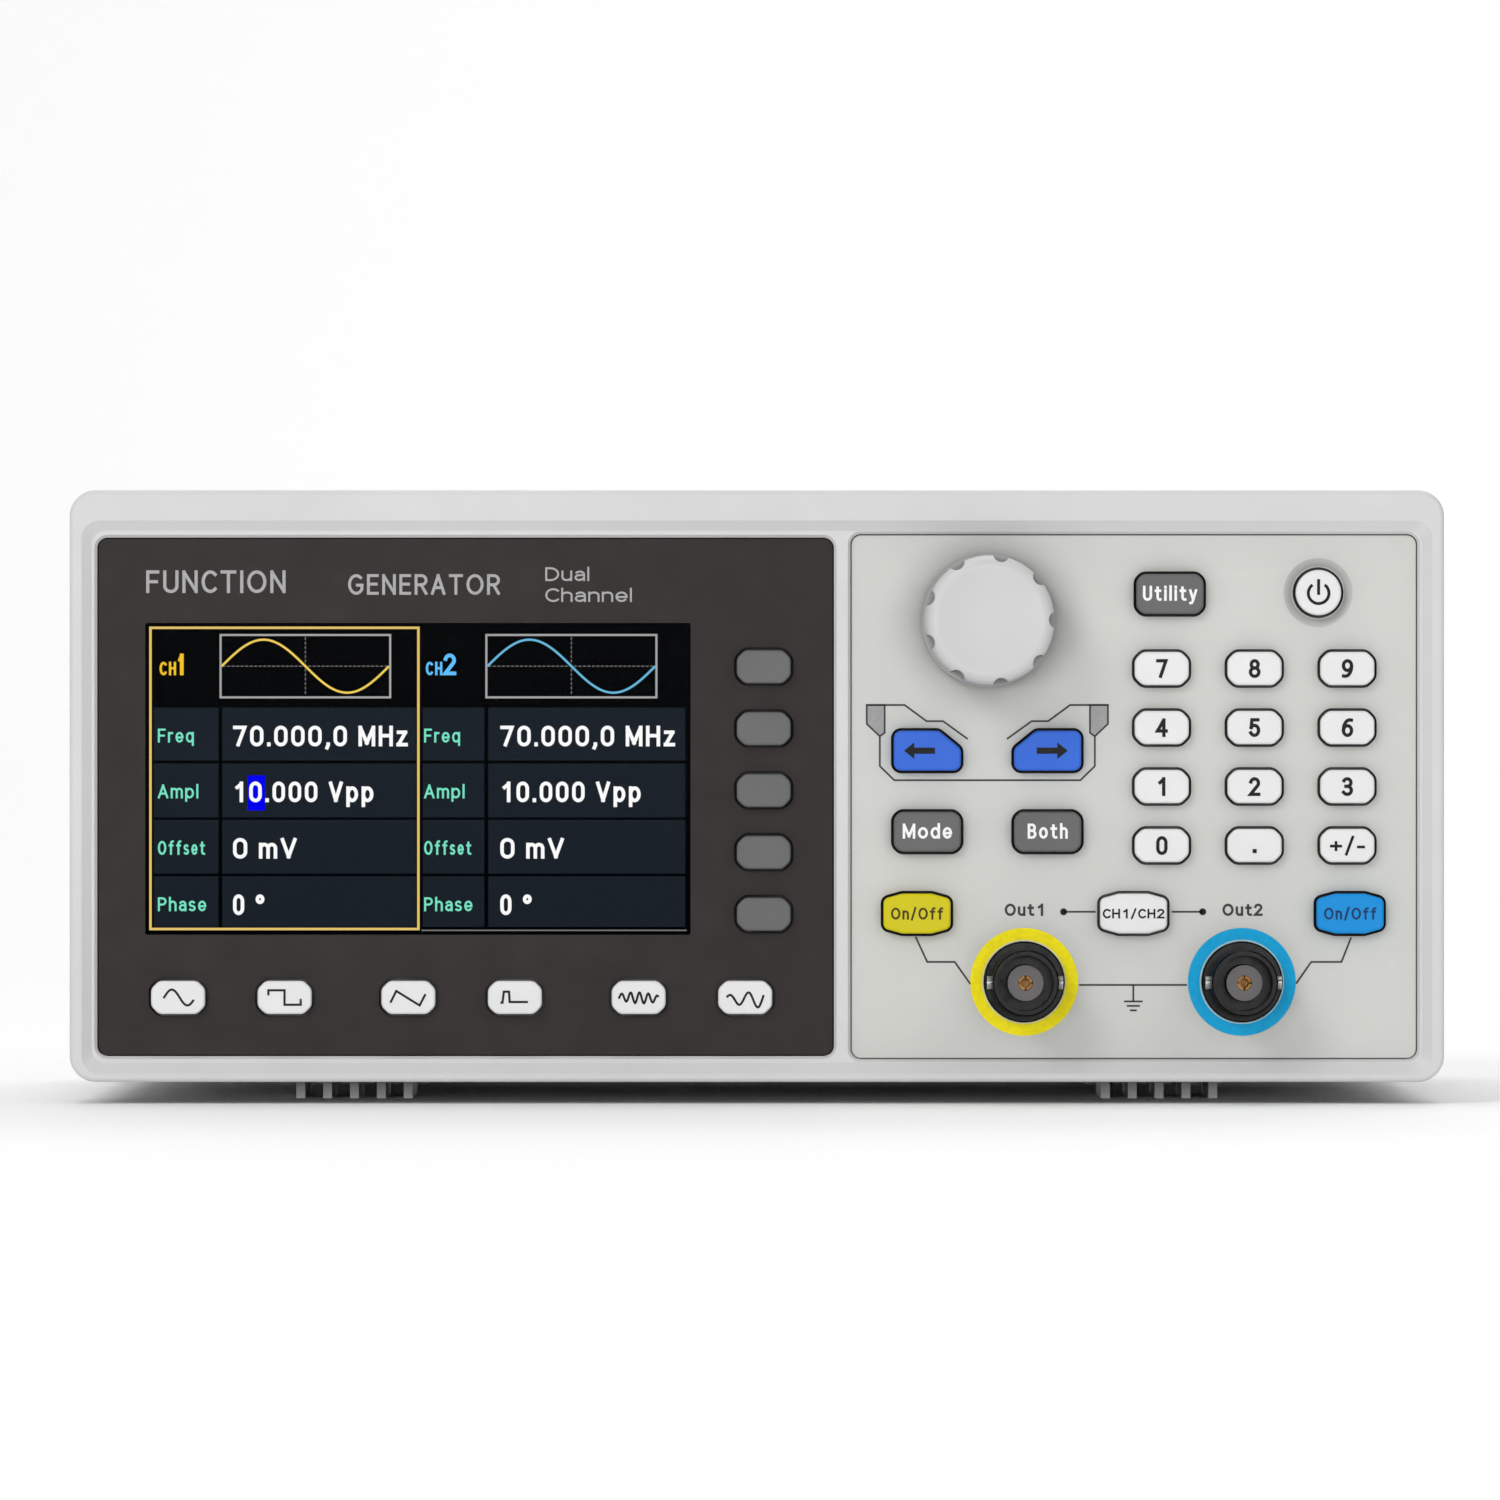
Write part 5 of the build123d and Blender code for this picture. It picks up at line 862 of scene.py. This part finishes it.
def draw_channel(number, channel_x, frame_x, label_x, value_x, columns, trace_material, name_material):
    """One channel's half of the display: its name, its wave and its four settings."""
    display_words(f"screen_channel_word_{number}", "CH", channel_x, 44, 12.0, name_material, 0.17, 14.7)
    display_words(f"screen_channel_number_{number}", str(number), channel_x + 15.7, 44, 19.3, name_material, 0.17,
                  6.6 if number == 1 else 11.4)
    (left, right), (top, bottom) = frame_x, (8.2, 63.7)
    corners = [(left, top), (right, top), (right, bottom), (left, bottom)]
    display_lines(f"screen_wave_frame_{number}", [corners], 1.8, screen_frame, closed=True)
    middle_x = (left + right) / 2
    middle_y = (top + bottom) / 2
    dashes = [[(left + 2 + step * 4.0, middle_y), (left + 4.4 + step * 4.0, middle_y)] for step in range(37)]
    dashes += [[(middle_x, top + 2 + step * 4.0), (middle_x, top + 4.4 + step * 4.0)] for step in range(13)]
    display_lines(f"screen_wave_axes_{number}", dashes, 0.9, screen_dash)
    trace = [(left + 1 + (right - left - 2) * step / 72, middle_y - 23.6 * math.sin(math.tau * step / 72))
             for step in range(73)]
    display_lines(f"screen_wave_trace_{number}", [trace], 1.9, trace_material, 5)
    for row, ((row_top, row_bottom), (row_name, name_width), (row_value, value_width)) in enumerate(
            zip(ROW_EDGES, ROW_NAMES, ROW_VALUES)):
        for kind, (cell_left, cell_right) in zip(("label", "value"), columns):
            cell = f"screen_{kind}_cell_{number}_{row}"
            display_box(cell, cell_left, row_top, cell_right, row_bottom, screen_row)
        display_words(f"screen_label_{number}_{row}", row_name, label_x, row_top + 31.1, 12.4, screen_mint, 0.145,
                      name_width)
        display_words(f"screen_value_{number}_{row}", row_value, value_x, row_top + 34.5, 18.4, screen_white, 0.17,
                      value_width)


def draw_display():
    display_box("screen_background", 0, 0, *DISPLAY_DOTS, screen_black, 0.5)
    draw_channel(1, 9.9, (64.2, 215.1), 8.4, 75.2, ((4.7, 62.3), (65.7, 238.1)), screen_yellow, screen_amber)
    draw_channel(2, 246.8, (300.7, 452.0), 245.3, 313.0, ((244.0, 298.8), (302.4, 477.7)), screen_blue, screen_sky)
    display_lines("screen_selected_channel", [[(1.8, 1.8), (240.2, 1.8), (240.2, 269.8), (1.8, 269.8)]], 2.2,
                  screen_edge, 4, True)
    display_lines("screen_bottom_line", [[(243, 271.0), (479, 271.0)]], 1.2, screen_dash, 2)
    display_box("screen_cursor_block", 88.4, 133.1, 103.8, 164.4, screen_cursor, 2)


# ---------------------------------------------------------------------------- rear print


def rear_words(name, words, x, z):
    lettering(name, words, x * MM, z * MM, 1.9 * MM, REAR_FACE_Y, line_ink, weight=0.14, toward=1)


def draw_rear_print():
    for number, x in enumerate(REAR_JACK_XS, 1):
        ring(f"rear_jack_ring_{number}", x * MM, REAR_JACK_Z * MM, 7.2 * MM, 7.6 * MM, REAR_FACE_Y, line_ink,
             toward=1)
    rear_words("rear_label_modulation", "Mod/Trig In", REAR_JACK_XS[0], 36.6)
    rear_words("rear_label_sync", "Sync Out", REAR_JACK_XS[1], 36.6)
    rear_words("rear_label_usb", "USB", USB_CENTRE[0], 30.4)
    rear_words("rear_label_mains", "100-240 V~  50/60 Hz", -56.0, 54.8)


# ---------------------------------------------------------------------------- studio

FLOOR_FRONT_Y = -3.0
BEND_START_Y = 0.9
BEND_RADIUS = 0.6
BEND_STEPS = 16
BACKDROP_TOP = 3.0
FLOOR_HALF_WIDTH = 4


def make_studio():
    """A pale floor that turns up into a backdrop behind the object, and is clear when seen from its back."""
    mesh_data = bmesh.new()
    profile = [(FLOOR_FRONT_Y, 0.0), (BEND_START_Y, 0.0)]
    for step in range(1, BEND_STEPS + 1):
        angle = math.pi / 2 * step / BEND_STEPS
        profile.append((BEND_START_Y + BEND_RADIUS * math.sin(angle), BEND_RADIUS - BEND_RADIUS * math.cos(angle)))
    profile.append((BEND_START_Y + BEND_RADIUS, BACKDROP_TOP))
    left = [mesh_data.verts.new((-FLOOR_HALF_WIDTH, y, z)) for y, z in profile]
    right = [mesh_data.verts.new((FLOOR_HALF_WIDTH, y, z)) for y, z in profile]
    for index in range(len(profile) - 1):
        face = mesh_data.faces.new((left[index], right[index], right[index + 1], left[index + 1]))
        face.smooth = True
    data = bpy.data.meshes.new("studio_floor")
    mesh_data.to_mesh(data)
    mesh_data.free()
    surface = Surface("studio_floor")
    surface.link(surface.mix(surface.noise(2, 2), linear(250), linear(253)), surface.shader.inputs["Base Color"])
    surface.set(Roughness=0.7, Specular_IOR_Level=0.2)
    one_sided = surface.node("ShaderNodeMixShader")
    surface.link(surface.node("ShaderNodeNewGeometry").outputs["Backfacing"], one_sided.inputs["Fac"])
    surface.link(surface.shader.outputs["BSDF"], one_sided.inputs[1])
    surface.link(surface.node("ShaderNodeBsdfTransparent").outputs["BSDF"], one_sided.inputs[2])
    surface.link(one_sided.outputs["Shader"], surface.tree.nodes["Material Output"].inputs["Surface"])
    data.materials.append(surface.material)
    floor = bpy.data.objects.new("studio_floor", data)
    bpy.context.scene.collection.objects.link(floor)


# ---------------------------------------------------------------------------- making

make_camera()
make_light()
dress_nodes()
paint_details()
smooth_nodes()
draw_key_legends()
draw_panel_print()
draw_display()
draw_rear_print()
make_studio()
